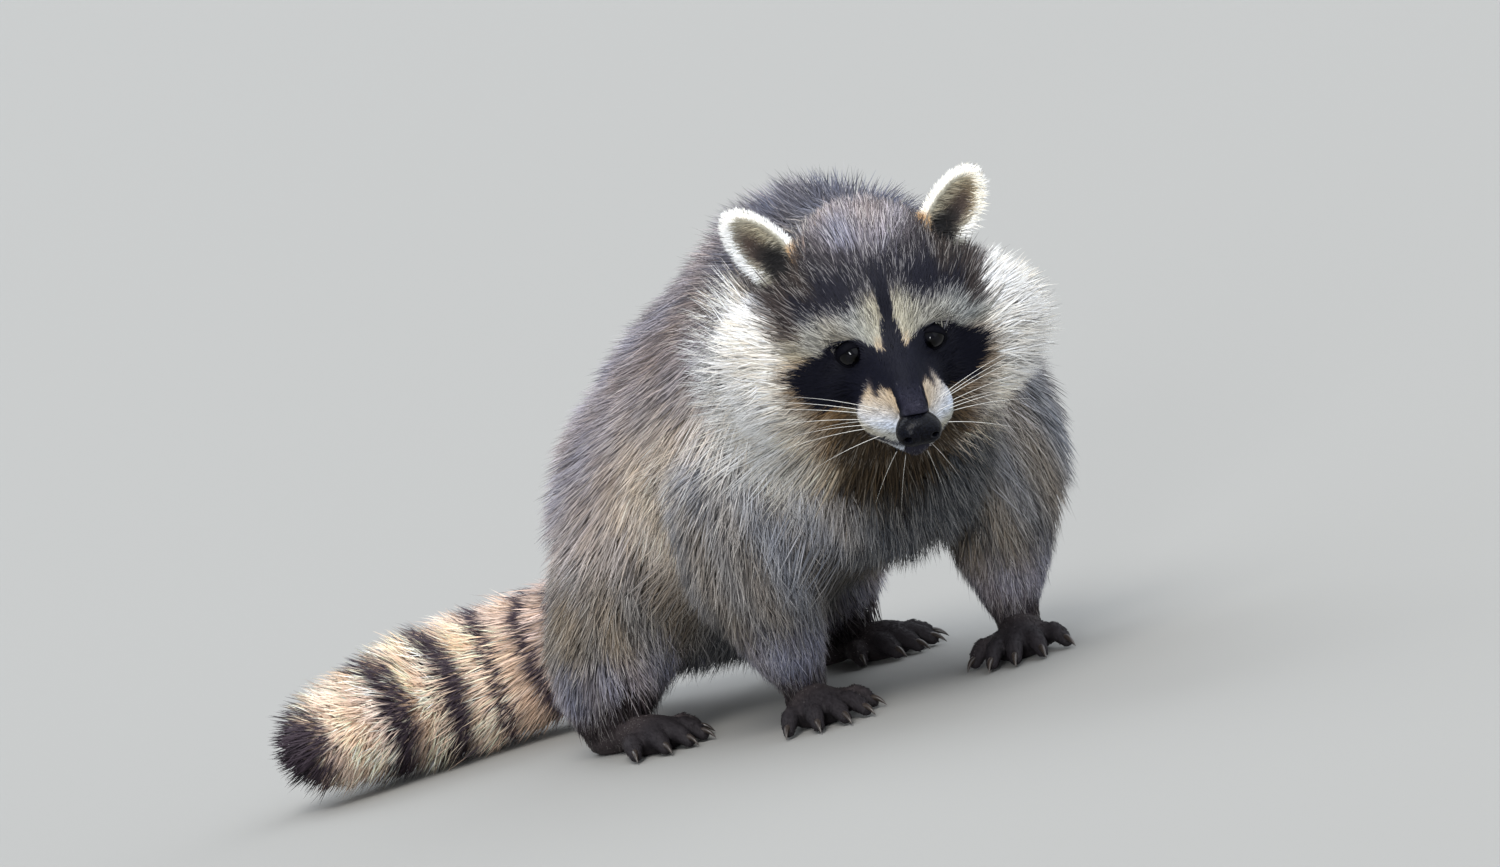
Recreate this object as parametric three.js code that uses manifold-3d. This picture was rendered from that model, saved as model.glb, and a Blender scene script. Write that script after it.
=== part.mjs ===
// A life-size raccoon standing on all fours with its back arched, its head low and turned to its right, and its
// ringed tail laid on the floor behind it. Millimetres, +Z up, the floor at Z = 0, the animal facing -Y, its left
// side at +X. Each solid reaches out to the tips of the coat, so the paws are slim and the cheeks, trunk and tail full.
// A form is a function that gives a point's distance to a surface, negative inside. Soft unions of ellipsoids and
// tapering limbs make the flesh, and cast() turns a form into a closed mesh of rings about a spine.
import * as THREE from "three";
import { mergeVertices } from "three/addons/utils/BufferGeometryUtils.js";
import Module from "manifold-3d";

const wasm = await Module();
wasm.setup();
const { Manifold, Mesh: SolidMesh } = wasm;

// ---- driving dimensions, mm and degrees -------------------------------------------------------------------------
const GAP = 0.35; // clearance between neighbouring solids
const BACK = 288; // height of the back over the shoulders
const HALF_CHEST = 93; // half the width over the ribs, coat included
const HALF_RUMP = 96; // half the width over the thighs, coat included
const EYE_SPREAD = 42.8; // between the eyes' centres
const EYE_RADIUS = 7.4;
const MUZZLE = 62; // from the eyes to the nose's tip, along the head
const RUFF = 97; // half the width over the cheek ruffs
const EAR = { length: 60, width: 31, thick: 14, taper: 0.06 }; // taper makes the base wider than the tip
const EAR_AT = [49.8, 20, 49.2]; // the left ear's middle
const EAR_TURN = { back: 30, twist: 6, leftLean: 41, rightLean: 35 }; // the left ear is held further out
const TAIL_RADIUS = 38.5;
const HEAD = { at: [-29, -215, 198.5], turn: 30.5, nod: 19, roll: 5 };

const v3 = (x, y, z) => new THREE.Vector3(x, y, z);
const radians = THREE.MathUtils.degToRad;

// ---- forms ------------------------------------------------------------------------------------------------------
// turn is Euler angles in degrees about X, Y and Z.
function ellipsoid(centre, radii, turn = [0, 0, 0]) {
  const back = new THREE.Quaternion().setFromEuler(new THREE.Euler(...turn.map(radians))).invert();
  const c = v3(...centre);
  const r = v3(...radii);
  const q = v3();
  const s = v3();
  return (p) => {
    q.copy(p).sub(c).applyQuaternion(back).divide(r);
    const k = q.length();
    s.copy(q).divide(r);
    return k < 1e-6 ? -Math.min(...radii) : (k * (k - 1)) / s.length();
  };
}

// A limb of round section from a to b, of radius ra at a and rb at b.
function limb(a, b, ra, rb) {
  const start = v3(...a);
  const along = v3(...b).sub(start);
  const length2 = along.lengthSq();
  const q = v3();
  return (p) => {
    q.copy(p).sub(start);
    const t = THREE.MathUtils.clamp(q.dot(along) / length2, 0, 1);
    return q.addScaledVector(along, -t).length() - THREE.MathUtils.lerp(ra, rb, t);
  };
}

// A chain of limbs through joints [x, y, z, radius].
const chain = (joints) =>
  joints.slice(1).map((j, i) => limb(joints[i].slice(0, 3), j.slice(0, 3), joints[i][3], j[3]));

// The soft union of forms, which run into each other over about k millimetres.
function blend(k, ...forms) {
  return (p) =>
    forms.reduce((d, form) => {
      const e = form(p);
      const h = Math.max(k - Math.abs(d - e), 0) / k;
      return Math.min(d, e) - (h * h * k) / 4;
    }, Infinity);
}

// ---- meshes and solids ------------------------------------------------------------------------------------------
// Rings of points where rays from the spine leave the form. The rays lean over at both ends, to close the shape.
function cast(form, spine, { sides, rings, caps, up = v3(0, 0, 1) }) {
  const curve = spine.length > 2 ? new THREE.CatmullRomCurve3(spine) : new THREE.LineCurve3(...spine);
  const positions = [];
  const p = v3();
  const leave = (origin, ray) => {
    let far = 0;
    let near = 0;
    for (let i = 0; i < 200; i++) {
      const d = form(p.copy(origin).addScaledVector(ray, far));
      if (d > 0) break;
      near = far;
      far += Math.max(-d, 0.3);
    }
    for (let i = 0; i < 14; i++) {
      const middle = (near + far) / 2;
      if (form(p.copy(origin).addScaledVector(ray, middle)) > 0) far = middle;
      else near = middle;
    }
    p.copy(origin).addScaledVector(ray, far);
    positions.push(p.x, p.y, p.z);
  };
  const stations = [];
  for (let i = 1; i <= caps; i++) stations.push([0, -90 + (90 * i) / (caps + 1)]);
  for (let i = 0; i <= rings; i++) stations.push([i / rings, 0]);
  for (let i = 1; i <= caps; i++) stations.push([1, (90 * i) / (caps + 1)]);
  leave(curve.getPointAt(0), curve.getTangentAt(0).negate());
  for (const [t, lean] of stations) {
    const origin = curve.getPointAt(t);
    const tangent = curve.getTangentAt(t);
    const side = v3().crossVectors(tangent, up).normalize();
    const top = v3().crossVectors(side, tangent);
    for (let j = 0; j < sides; j++) {
      const angle = (2 * Math.PI * j) / sides;
      const ray = v3()
        .addScaledVector(side, Math.cos(angle) * Math.cos(radians(lean)))
        .addScaledVector(top, Math.sin(angle) * Math.cos(radians(lean)))
        .addScaledVector(tangent, Math.sin(radians(lean)));
      leave(origin, ray);
    }
  }
  leave(curve.getPointAt(1), curve.getTangentAt(1));
  const index = [];
  const last = positions.length / 3 - 1;
  for (let j = 0; j < sides; j++) {
    const k = (j + 1) % sides;
    index.push(0, 1 + j, 1 + k);
    for (let i = 0; i < stations.length - 1; i++) {
      const a = 1 + i * sides;
      const b = a + sides;
      index.push(a + j, b + j, b + k, a + j, b + k, a + k);
    }
    const e = 1 + (stations.length - 1) * sides;
    index.push(last, e + k, e + j);
  }
  const made = new THREE.BufferGeometry();
  made.setAttribute("position", new THREE.Float32BufferAttribute(positions, 3));
  return made.setIndex(index);
}

function solidOf(geometry, weld = 1e-4) {
  const bare = geometry.clone();
  for (const name of Object.keys(bare.attributes)) if (name !== "position") bare.deleteAttribute(name);
  const merged = mergeVertices(bare, weld);
  const made = new Manifold(
    new SolidMesh({
      numProp: 3,
      vertProperties: merged.attributes.position.array,
      triVerts: new Uint32Array(merged.index.array),
    }),
  );
  if (made.volume() >= 0) return made;
  merged.index.array.reverse();
  return solidOf(merged);
}

function geometryOf(solid) {
  const mesh = solid.getMesh();
  const made = new THREE.BufferGeometry();
  made.setAttribute("position", new THREE.BufferAttribute(new Float32Array(mesh.vertProperties), 3));
  made.setIndex(new THREE.BufferAttribute(new Uint32Array(mesh.triVerts), 1));
  return made;
}

const castSolid = (form, spine, how) => solidOf(cast(form, spine, how));

// The same mesh with each corner moved out along its normal, to leave a gap when it is cut from a neighbour.
function swollen(form, spine, how) {
  const by = 1.3 * GAP;
  const made = cast(form, spine, how);
  made.computeVertexNormals();
  const { position, normal } = made.attributes;
  const p = v3();
  for (let i = 0; i < position.count; i++) {
    p.fromBufferAttribute(normal, i).multiplyScalar(by).add(v3().fromBufferAttribute(position, i));
    position.setXYZ(i, ...p);
  }
  return solidOf(made);
}

const largest = (solid) => solid.decompose().sort((a, b) => b.volume() - a.volume())[0];
// What is left of a solid when others are cut from it, without crumbs or pieces that hang by a point.
function cut(solid, ...others) {
  const left = largest(others.reduce((s, o) => s.subtract(o), solid));
  return largest(solidOf(geometryOf(left), 2e-3));
}
const moved = (solid, matrix) => solid.transform(matrix.elements);

const FLOOR_BLOCK = solidOf(new THREE.BoxGeometry(2000, 2000, 400).translate(0, 0, -200));

// ---- materials --------------------------------------------------------------------------------------------------
const paint = (color, roughness) => new THREE.MeshStandardMaterial({ color, roughness, metalness: 0 });
const COAT = paint(0x7d746a, 0.9);
const FACE = paint(0x8a8278, 0.9);
const TAIL = paint(0x8f7d66, 0.9);
const EAR_FUR = paint(0xc9c2b4, 0.9);
const PAW = paint(0x4a423e, 0.8);
const CLAW = paint(0x1d1917, 0.35);
const EYE = paint(0x0c0907, 0.05);
const NOSE = paint(0x17171a, 0.35);

const raccoon = new THREE.Group();
function add(parent, name, solid, material) {
  const mesh = new THREE.Mesh(geometryOf(solid), material);
  mesh.name = name;
  parent.add(mesh);
  return mesh;
}

// ---- head: skull, brow, cheeks with their ruffs, muzzle and jaw, in the head's own frame, face towards -Y --------
const headGroup = new THREE.Group();
headGroup.rotation.set(radians(HEAD.nod), radians(HEAD.roll), -radians(HEAD.turn), "ZXY");
headGroup.position.set(...HEAD.at);
headGroup.updateMatrix();
raccoon.add(headGroup);

const EYE_AT = [EYE_SPREAD / 2, -39, 10];
const NOSE_AT = [0, EYE_AT[1] - MUZZLE + 9, -15];
const mirror = ([x, y, z]) => [-x, y, z];
const both = (centre, radii, turn = [0, 0, 0]) => [
  ellipsoid(centre, radii, turn),
  ellipsoid(mirror(centre), radii, [turn[0], -turn[1], -turn[2]]),
];

const headForm = blend(
  18,
  ellipsoid([0, 14, 8], [60, 56, 48]),
  ellipsoid([0, 22, 24], [40, 44, 42]),
  ...both([RUFF - 46, -3, -6], [47, 29, 44], [0, 12, 9]),
  ellipsoid([0, -2, -36], [58, 38, 38]),
  blend(
    10,
    ellipsoid([0, -20, 14], [42, 28, 27]),
    limb([0, -34, -8], [0, NOSE_AT[1] + 14, -19], 25, 13),
    limb([0, -38, 7], [0, NOSE_AT[1] + 2, -8], 12, 8),
    limb([0, -28, -26], [0, NOSE_AT[1] + 18, -30], 19, 8),
    ...both([11.5, NOSE_AT[1] + 30, -19], [13, 19.5, 12], [0, 0, -15]),
  ),
);
const HEAD_SPINE = [v3(0, 14, -6), v3(0, -34, -6), v3(0, -80, -18)];
const HEAD_CAST = { sides: 25, rings: 10, caps: 4 };

// An ellipsoid as a mesh. With a taper it is egg-shaped: wider across X below its middle, and narrower above.
function ball(centre, radii, turn = [0, 0, 0], { segments = 10, bands = 6, taper = 0 } = {}) {
  const made = new THREE.SphereGeometry(1, segments, bands);
  const { position } = made.attributes;
  for (let i = 0; i < position.count; i++) {
    position.setX(i, position.getX(i) * (1 - taper * position.getZ(i)));
  }
  made.scale(...radii);
  made.applyMatrix4(new THREE.Matrix4().makeRotationFromEuler(new THREE.Euler(...turn.map(radians))));
  return solidOf(made.translate(...centre));
}

const grown = (radii) => radii.map((r) => r + GAP);
const NOSE_RADII = [12.4, 10.5, 10];
const noseAndGap = ball(NOSE_AT, grown(NOSE_RADII), [-12, 0, 0]);

// An ear is a cup that leans outwards: a flat egg shape with a smaller one pressed out of its front.
const EAR_WALL = 4;
const EAR_CUP_AHEAD = 6;
const EAR_SHAPE = { segments: 11, bands: 8, taper: EAR.taper };
function earAt(side, swell) {
  const centre = [side * EAR_AT[0], EAR_AT[1], EAR_AT[2]];
  const lean = side > 0 ? EAR_TURN.leftLean : -EAR_TURN.rightLean;
  const turn = [-EAR_TURN.back, lean, side * EAR_TURN.twist];
  const radii = [EAR.width / 2, EAR.thick / 2, EAR.length / 2];
  const outer = ball(centre, radii.map((r) => r + swell), turn, EAR_SHAPE);
  if (swell) return outer;
  const front = v3(0, -1, 0).applyEuler(new THREE.Euler(...turn.map(radians)));
  const pressed = v3(...centre).addScaledVector(front, EAR_CUP_AHEAD);
  const cupRadii = [radii[0] - EAR_WALL, radii[1] + 1, radii[2] - EAR_WALL];
  return largest(outer.subtract(ball(pressed.toArray(), cupRadii, turn, EAR_SHAPE)));
}

// Each eye stands in a shallow socket.
const sockets = [1, -1].map((side) =>
  ball([side * EYE_AT[0], EYE_AT[1], EYE_AT[2]], grown([EYE_RADIUS, EYE_RADIUS, EYE_RADIUS])).add(
    ball([side * (EYE_AT[0] + 0.5), EYE_AT[1] - 12, EYE_AT[2]], [10, 9, 8]),
  ),
);
const headSolid = cut(
  castSolid(headForm, HEAD_SPINE, HEAD_CAST),
  noseAndGap,
  ...sockets,
  earAt(1, GAP),
  earAt(-1, GAP),
);
add(headGroup, "head", headSolid, FACE);
add(headGroup, "nose", ball(NOSE_AT, NOSE_RADII, [-12, 0, 0]), NOSE);
for (const [side, name] of [[1, "left"], [-1, "right"]]) {
  const place = [side * EYE_AT[0], EYE_AT[1], EYE_AT[2]];
  add(headGroup, "eye_" + name, ball(place, [EYE_RADIUS, EYE_RADIUS, EYE_RADIUS]), EYE);
  add(headGroup, "ear_" + name, earAt(side, 0), EAR_FUR);
}

// ---- torso and tail ---------------------------------------------------------------------------------------------
// The torso runs from the throat to the rump, and a flat cut across it parts the neck from the trunk.
const torsoForm = blend(
  34,
  limb([4, -132, 196], [-14, -170, 196], 79, 64),
  ellipsoid([-2, -156, 134], [70, 42, 62]),
  ellipsoid([6, -124, BACK - 113], [HALF_CHEST, 76, 108]),
  ellipsoid([6, -40, 146], [HALF_RUMP + 2, 96, 96]),
  ellipsoid([6, 40, 106], [HALF_RUMP, 76, 90]),
);
const TORSO_SPINE = [v3(-14, -172, 168), v3(0, -122, 160), v3(4, -38, 145), v3(6, 38, 112)];
const TORSO_CAST = { sides: 20, rings: 10, caps: 3 };
const NECK_CUT = { at: v3(-2, -158, 165), facing: v3(-0.2, -0.97, 0.12).normalize() };

// The tail leaves the rump, drops to the floor and lies out behind to the animal's right.
const TAIL_PATH = [
  [4, 84, 84],
  [3, 134, 62],
  [-14, 178, 43],
  [-46, 210, 39],
  [-94, 220, 38.5],
  [-150, 226, 36],
];
const TAIL_SHARE = [0.82, 0.88, 0.97, 1.03, 1.02, 0.86];
const tailForm = blend(22, ...chain(TAIL_PATH.map((p, i) => [...p, TAIL_RADIUS * TAIL_SHARE[i]])));
const tailSpine = TAIL_PATH.map((p) => v3(...p));
const TAIL_CAST = { sides: 12, rings: 10, caps: 2 };

// ---- legs -------------------------------------------------------------------------------------------------------
// Joints from the top down, [x, y, z, radius with its coat].
const LEGS = {
  foreleg_left: [[82, -132, 136, 48], [81, -130, 96, 42], [76, -126, 54, 22], [76, -122, 26, 14]],
  foreleg_right: [[-66, -104, 130, 44], [-64, -98, 90, 38], [-54, -92, 52, 20], [-46, -86, 26, 14]],
  hindleg_left: [[66, 34, 88, 44], [78, 42, 58, 36], [82, 60, 36, 24], [80, 70, 22, 15]],
  hindleg_right: [[-62, 30, 88, 44], [-76, 34, 58, 36], [-80, 46, 36, 24], [-79, 54, 22, 15]],
};
const LEG_CAST = { sides: 11, rings: 5, caps: 2 };
const legForms = {};
for (const [name, joints] of Object.entries(LEGS)) legForms[name] = blend(24, ...chain(joints));
const legSpine = (joints) => [joints[0], joints[joints.length - 1]].map(([x, y, z]) => v3(x, y, z));

// ---- paws -------------------------------------------------------------------------------------------------------
// A paw in its own frame: the wrist or heel at the origin, toes towards -Y, the sole cut flat at Z = 0.
const TOES = [
  { out: -15, back: 12, spread: -34, length: 0.72 },
  { out: -10, back: 0, spread: -16, length: 0.95 },
  { out: -3, back: -3, spread: -4, length: 1 },
  { out: 5, back: -2, spread: 9, length: 0.97 },
  { out: 12, back: 5, spread: 26, length: 0.85 },
];
const PAW_KINDS = {
  fore: { palm: 34, width: 17, toe: 30, knuckle: 5.4, tip: 3.8 },
  hind: { palm: 66, width: 17, toe: 25, knuckle: 5.6, tip: 4 },
};
const CLAW_LENGTH = 11;

function toeLine(kind, side, toe) {
  const angle = radians(toe.spread) * side;
  const root = v3(side * toe.out, -kind.palm + toe.back + 6, 8.5);
  const ahead = v3(Math.sin(angle), -Math.cos(angle), 0);
  const knuckle = root.clone().addScaledVector(ahead, kind.toe * toe.length * 0.5).setZ(9.5);
  const tip = root.clone().addScaledVector(ahead, kind.toe * toe.length).setZ(4);
  return { root, knuckle, tip, ahead };
}

function toeForm(kind, side, toe) {
  const { root, knuckle, tip } = toeLine(kind, side, toe);
  return {
    spine: [root, knuckle, tip],
    form: blend(
      4,
      limb(root.toArray(), knuckle.toArray(), kind.knuckle + 0.6, kind.knuckle),
      limb(knuckle.toArray(), tip.toArray(), kind.knuckle, kind.tip),
    ),
  };
}

function clawSolid(kind, side, toe) {
  const { tip, ahead } = toeLine(kind, side, toe);
  const root = tip.clone().addScaledVector(ahead, -2).setZ(6);
  const bend = root.clone().addScaledVector(ahead, CLAW_LENGTH * 0.55).setZ(5.6);
  const point = root.clone().addScaledVector(ahead, CLAW_LENGTH).setZ(1.6);
  const form = blend(
    2,
    limb(root.toArray(), bend.toArray(), 2.3, 1.6),
    limb(bend.toArray(), point.toArray(), 1.6, 0.5),
  );
  return castSolid(form, [root, bend, point], { sides: 4, rings: 2, caps: 1 });
}

function pawSolid(kind, side, made = castSolid) {
  const palm = blend(
    8,
    limb([0, 0, 13], [0, -kind.palm, 9], 12.5, 10),
    ellipsoid([-side * 1, -kind.palm + 8, 7], [kind.width, 15, 10]),
    ellipsoid([0, -8, 6], [12, 14, 9]),
  );
  const hand = made(palm, [v3(0, -4, 8), v3(0, -kind.palm + 4, 8)], { sides: 10, rings: 3, caps: 1 });
  const toes = TOES.map((toe) => {
    const { form, spine } = toeForm(kind, side, toe);
    return made(form, spine, { sides: 5, rings: 2, caps: 1 });
  });
  return toes.reduce((all, toe) => all.add(toe), hand);
}

const PAWS = {
  forepaw_left: { kind: "fore", side: 1, at: [76, -122, 0], turn: -38, leg: "foreleg_left" },
  forepaw_right: { kind: "fore", side: -1, at: [-44, -84, 0], turn: -24, leg: "foreleg_right" },
  hindpaw_left: { kind: "hind", side: 1, at: [80, 76, 0], turn: 8, leg: "hindleg_left" },
  hindpaw_right: { kind: "hind", side: -1, at: [-79, 60, 0], turn: -8, leg: "hindleg_right" },
};
const pawsAndGap = {};
for (const [name, { kind, side, at, turn, leg }] of Object.entries(PAWS)) {
  const group = new THREE.Group();
  group.position.set(...at);
  group.rotation.z = radians(turn);
  group.updateMatrix();
  raccoon.add(group);
  add(group, name, cut(pawSolid(PAW_KINDS[kind], side), FLOOR_BLOCK), PAW);
  const around = pawSolid(PAW_KINDS[kind], side, swollen);
  pawsAndGap[leg] = moved(around, group.matrix);
  TOES.forEach((toe, i) => {
    const claw = cut(clawSolid(PAW_KINDS[kind], side, toe), around);
    add(group, `claw_${name}_${i + 1}`, claw, CLAW);
  });
}

// ---- the flesh is trimmed where its pieces meet: the head, legs and tail keep their shape ------------------------
const headAndGap = moved(
  swollen(headForm, HEAD_SPINE, HEAD_CAST).add(earAt(1, GAP)).add(earAt(-1, GAP)),
  headGroup.matrix,
);
const legsAndGap = {};
for (const [name, joints] of Object.entries(LEGS)) {
  const form = legForms[name];
  legsAndGap[name] = swollen(form, legSpine(joints), LEG_CAST);
}
for (const [name, joints] of Object.entries(LEGS)) {
  const whole = castSolid(legForms[name], legSpine(joints), LEG_CAST);
  add(raccoon, name, cut(whole, pawsAndGap[name], headAndGap, FLOOR_BLOCK), COAT);
}

// A block with one face through a point, filling the space on the side that it faces, less half the gap.
function halfSpace(at, facing, reach = 500) {
  const made = new THREE.BoxGeometry(reach, reach, reach).translate(0, 0, reach / 2 + GAP / 2);
  made.applyQuaternion(new THREE.Quaternion().setFromUnitVectors(v3(0, 0, 1), facing));
  return solidOf(made.translate(at.x, at.y, at.z));
}
const torso = castSolid(torsoForm, TORSO_SPINE, TORSO_CAST);
const beforeCut = halfSpace(NECK_CUT.at, NECK_CUT.facing);
const behindCut = halfSpace(NECK_CUT.at, NECK_CUT.facing.clone().negate());
const neck = cut(torso.intersect(beforeCut), headAndGap, ...Object.values(legsAndGap));
add(raccoon, "neck", neck, COAT);

// The tail is three lengths, parted by thin cuts across it.
const tailWhole = castSolid(tailForm, tailSpine, TAIL_CAST).subtract(FLOOR_BLOCK);
const TAIL_CUTS = [0.36, 0.68];
const tailCurve = new THREE.CatmullRomCurve3(tailSpine);
function tailLength(from, to) {
  const wall = (t, way) => halfSpace(tailCurve.getPointAt(t), tailCurve.getTangentAt(t).multiplyScalar(way));
  let made = tailWhole;
  if (from > 0) made = made.intersect(wall(from, 1));
  if (to < 1) made = made.intersect(wall(to, -1));
  return cut(made);
}
add(raccoon, "tail_base", tailLength(0, TAIL_CUTS[0]), TAIL);
add(raccoon, "tail_middle", tailLength(...TAIL_CUTS), TAIL);
add(raccoon, "tail_tip", tailLength(TAIL_CUTS[1], 1), TAIL);

const tailAndGap = swollen(tailForm, tailSpine, TAIL_CAST);
const trunk = cut(torso.intersect(behindCut), headAndGap, tailAndGap, ...Object.values(legsAndGap));
add(raccoon, "trunk", trunk, COAT);

// ---- the origin is on the floor, under the middle of the whole animal --------------------------------------------
const box = new THREE.Box3().setFromObject(raccoon, true);
const middle = box.getCenter(v3());
for (const child of raccoon.children) child.position.sub(v3(middle.x, middle.y, box.min.z));

export default raccoon;
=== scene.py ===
# A life-size raccoon on all fours, back arched, head low and turned to its right, ringed tail laid out
# behind. The flesh solids reach to the tips of the coat. Here a skin lies inside them, and tufts of fur
# fill the depth between. The animal's own frame has the face towards -Y and the left side towards +X.
# Forms are in millimetres.
import math

import bmesh
import bpy
import numpy as np
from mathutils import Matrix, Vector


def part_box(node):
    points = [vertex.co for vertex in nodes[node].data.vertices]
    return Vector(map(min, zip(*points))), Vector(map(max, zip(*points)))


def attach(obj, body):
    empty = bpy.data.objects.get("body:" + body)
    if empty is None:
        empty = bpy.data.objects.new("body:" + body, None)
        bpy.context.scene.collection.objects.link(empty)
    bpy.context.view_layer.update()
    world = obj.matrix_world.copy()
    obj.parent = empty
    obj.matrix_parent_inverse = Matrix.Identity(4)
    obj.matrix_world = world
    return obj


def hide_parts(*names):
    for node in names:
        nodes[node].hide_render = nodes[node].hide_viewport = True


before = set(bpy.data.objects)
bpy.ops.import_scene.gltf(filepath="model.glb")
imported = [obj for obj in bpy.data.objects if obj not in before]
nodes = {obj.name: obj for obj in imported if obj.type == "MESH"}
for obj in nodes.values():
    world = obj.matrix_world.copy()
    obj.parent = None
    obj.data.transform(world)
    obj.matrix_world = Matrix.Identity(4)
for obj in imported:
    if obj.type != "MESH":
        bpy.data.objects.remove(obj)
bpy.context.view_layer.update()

import openvdb as vdb
from mathutils import Matrix, Vector
from mathutils.kdtree import KDTree

MM = 0.001

# ---- the view ------------------------------------------------------------------------------------
# A long lens held low in front of the animal's right shoulder, and tilted, so that the floor rises to
# the right.
VIEW_AZIMUTH = math.radians(-35)
VIEW_ELEVATION = math.radians(6)
VIEW_ROLL = math.radians(16)
VIEW_LENS = 200
VIEW_DISTANCE = 4.5
VIEW_CENTRE = Vector((0.0371, -0.0070, 0.1475))


def camera_matrix():
    back = Vector((
        math.sin(VIEW_AZIMUTH) * math.cos(VIEW_ELEVATION),
        -math.cos(VIEW_AZIMUTH) * math.cos(VIEW_ELEVATION),
        math.sin(VIEW_ELEVATION),
    ))
    right = Vector((0, 0, 1)).cross(back).normalized()
    up = back.cross(right)
    tilted_right = right * math.cos(VIEW_ROLL) - up * math.sin(VIEW_ROLL)
    tilted_up = up * math.cos(VIEW_ROLL) + right * math.sin(VIEW_ROLL)
    made = Matrix((tilted_right, tilted_up, back)).transposed().to_4x4()
    made.translation = VIEW_CENTRE + back * VIEW_DISTANCE
    return made


lens = bpy.data.cameras.new("lens")
lens.lens = VIEW_LENS
lens.clip_end = 50
camera = bpy.data.objects.new("camera", lens)
camera.matrix_world = camera_matrix()
bpy.context.scene.collection.objects.link(camera)
bpy.context.scene.camera = camera

# ---- the coat's outline --------------------------------------------------------------------------
# The flesh solids together, with the thin gaps between them closed, as one field that gives each point's
# distance to the tips of the coat: negative inside. It says how deep the fur is at any place on the skin.
NOT_FLESH = ("eye_", "nose", "claw_")
flesh = sorted(name for name in nodes if not name.startswith(NOT_FLESH))
GAP_CLOSER = 0.6  # mm that the joined solids are swollen, so that the gaps between them close
FINE_CELL = 1.5
COAT_CELL = 2.4
COAT_CELLS_IN = 28
COAT_CELLS_OUT = 6
COAT_BLUR = 3  # passes that round off the flat faces of the solids
BAND = 3.0  # cells on each side of a surface in which its distances are kept


def corners_of(name, kind=float):
    """The corners of a CAD node, mm."""
    mesh = nodes[name].data
    made = np.empty(len(mesh.vertices) * 3, kind)
    mesh.vertices.foreach_get("co", made)
    return made.reshape(-1, 3) / MM


def triangles_of(names):
    """All corners, mm, and triangles of CAD nodes, in one mesh."""
    corners, triangles, count = [], [], 0
    for name in names:
        mesh = nodes[name].data
        mesh.calc_loop_triangles()
        index = np.empty(len(mesh.loop_triangles) * 3, np.int32)
        mesh.loop_triangles.foreach_get("vertices", index)
        corners.append(corners_of(name, np.float32))
        triangles.append(index.reshape(-1, 3) + count)
        count += len(mesh.vertices)
    return np.concatenate(corners), np.concatenate(triangles).astype(np.uint32)


def blurred(field, passes):
    for _ in range(passes):
        for axis in range(3):
            last = np.roll(field, 1, axis)
            following = np.roll(field, -1, axis)
            field = (last + following + 2 * field) / 4
    return field


corners, triangles = triangles_of(flesh)
low = np.floor(corners.min(0) / COAT_CELL).astype(int) - COAT_CELLS_OUT
high = np.ceil(corners.max(0) / COAT_CELL).astype(int) + COAT_CELLS_OUT
joined = vdb.FloatGrid.createLevelSetFromPolygons(
    corners, triangles=triangles, transform=vdb.createLinearTransform(voxelSize=FINE_CELL), halfWidth=BAND
)
shell, shell_triangles, shell_quads = joined.convertToPolygons(isovalue=GAP_CLOSER, adaptivity=0.0)
deep = vdb.FloatGrid.createLevelSetFromPolygons(
    shell, triangles=shell_triangles, quads=shell_quads,
    transform=vdb.createLinearTransform(voxelSize=COAT_CELL),
    exBandWidth=float(COAT_CELLS_OUT), inBandWidth=float(COAT_CELLS_IN),
)
coat_field = np.empty(tuple(high - low + 1), np.float32)
deep.copyToArray(coat_field, ijk=tuple(int(i) for i in low))
coat_field = blurred(coat_field + GAP_CLOSER, COAT_BLUR)
COAT_LOW = low * COAT_CELL


def coat(p):
    """How far points p, mm, lie outside the tips of the coat; negative under them."""
    q = (p - COAT_LOW) / COAT_CELL
    i = np.clip(np.floor(q).astype(np.int32), 0, np.array(coat_field.shape) - 2)
    f = np.clip(q - i, 0, 1)
    total = 0
    for corner in range(8):
        step = np.array([corner & 1, corner >> 1 & 1, corner >> 2 & 1])
        at = i + step
        share = np.prod(np.where(step, f, 1 - f), axis=1)
        total = total + share * coat_field[at[:, 0], at[:, 1], at[:, 2]]
    return total


# ---- the skin ------------------------------------------------------------------------------------
# One hide over the whole animal, from the lips to the tail's end. The trunk's is the coat's outline drawn
# in by the depth of the fur. The head, ears, legs, feet and tail are shaped as forms of their own and run
# into it.
SKIN_CELL = 1.6
TRUNK_DEPTH = 29


def rotation(x, y, z):
    """Turns in degrees about the X, Y and Z of the piece itself, in that order."""
    return np.array(
        Matrix.Rotation(math.radians(x), 3, "X")
        @ Matrix.Rotation(math.radians(y), 3, "Y")
        @ Matrix.Rotation(math.radians(z), 3, "Z")
    )


def ellipsoid(centre, radii, turn=(0, 0, 0)):
    centre, radii, back = np.array(centre), np.array(radii), rotation(*turn)

    def distance(p):
        q = ((p - centre) @ back) / radii
        k = np.maximum(np.linalg.norm(q, axis=-1), 1e-6)
        return k * (k - 1) / np.maximum(np.linalg.norm(q / radii, axis=-1), 1e-9)

    return distance


def limb(a, b, radius_a, radius_b):
    a, along = np.array(a, float), np.subtract(b, a, dtype=float)

    def distance(p):
        t = np.clip((p - a) @ along / (along @ along), 0, 1)
        axis = a + t[:, None] * along
        return np.linalg.norm(p - axis, axis=-1) - (radius_a + t * (radius_b - radius_a))

    return distance


def chain(joints):
    return [limb(a[:3], b[:3], a[3], b[3]) for a, b in zip(joints, joints[1:])]


def soft_least(d, e, k):
    """The lesser of two distances, with a soft run of k millimetres where they meet."""
    h = np.maximum(k - np.abs(d - e), 0) / k
    return np.minimum(d, e) - h * h * k / 4


def pressed_out(d, e, k):
    """A form less another, by their distances, with an edge rounded over k millimetres."""
    return -soft_least(-d, e, k)


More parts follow.
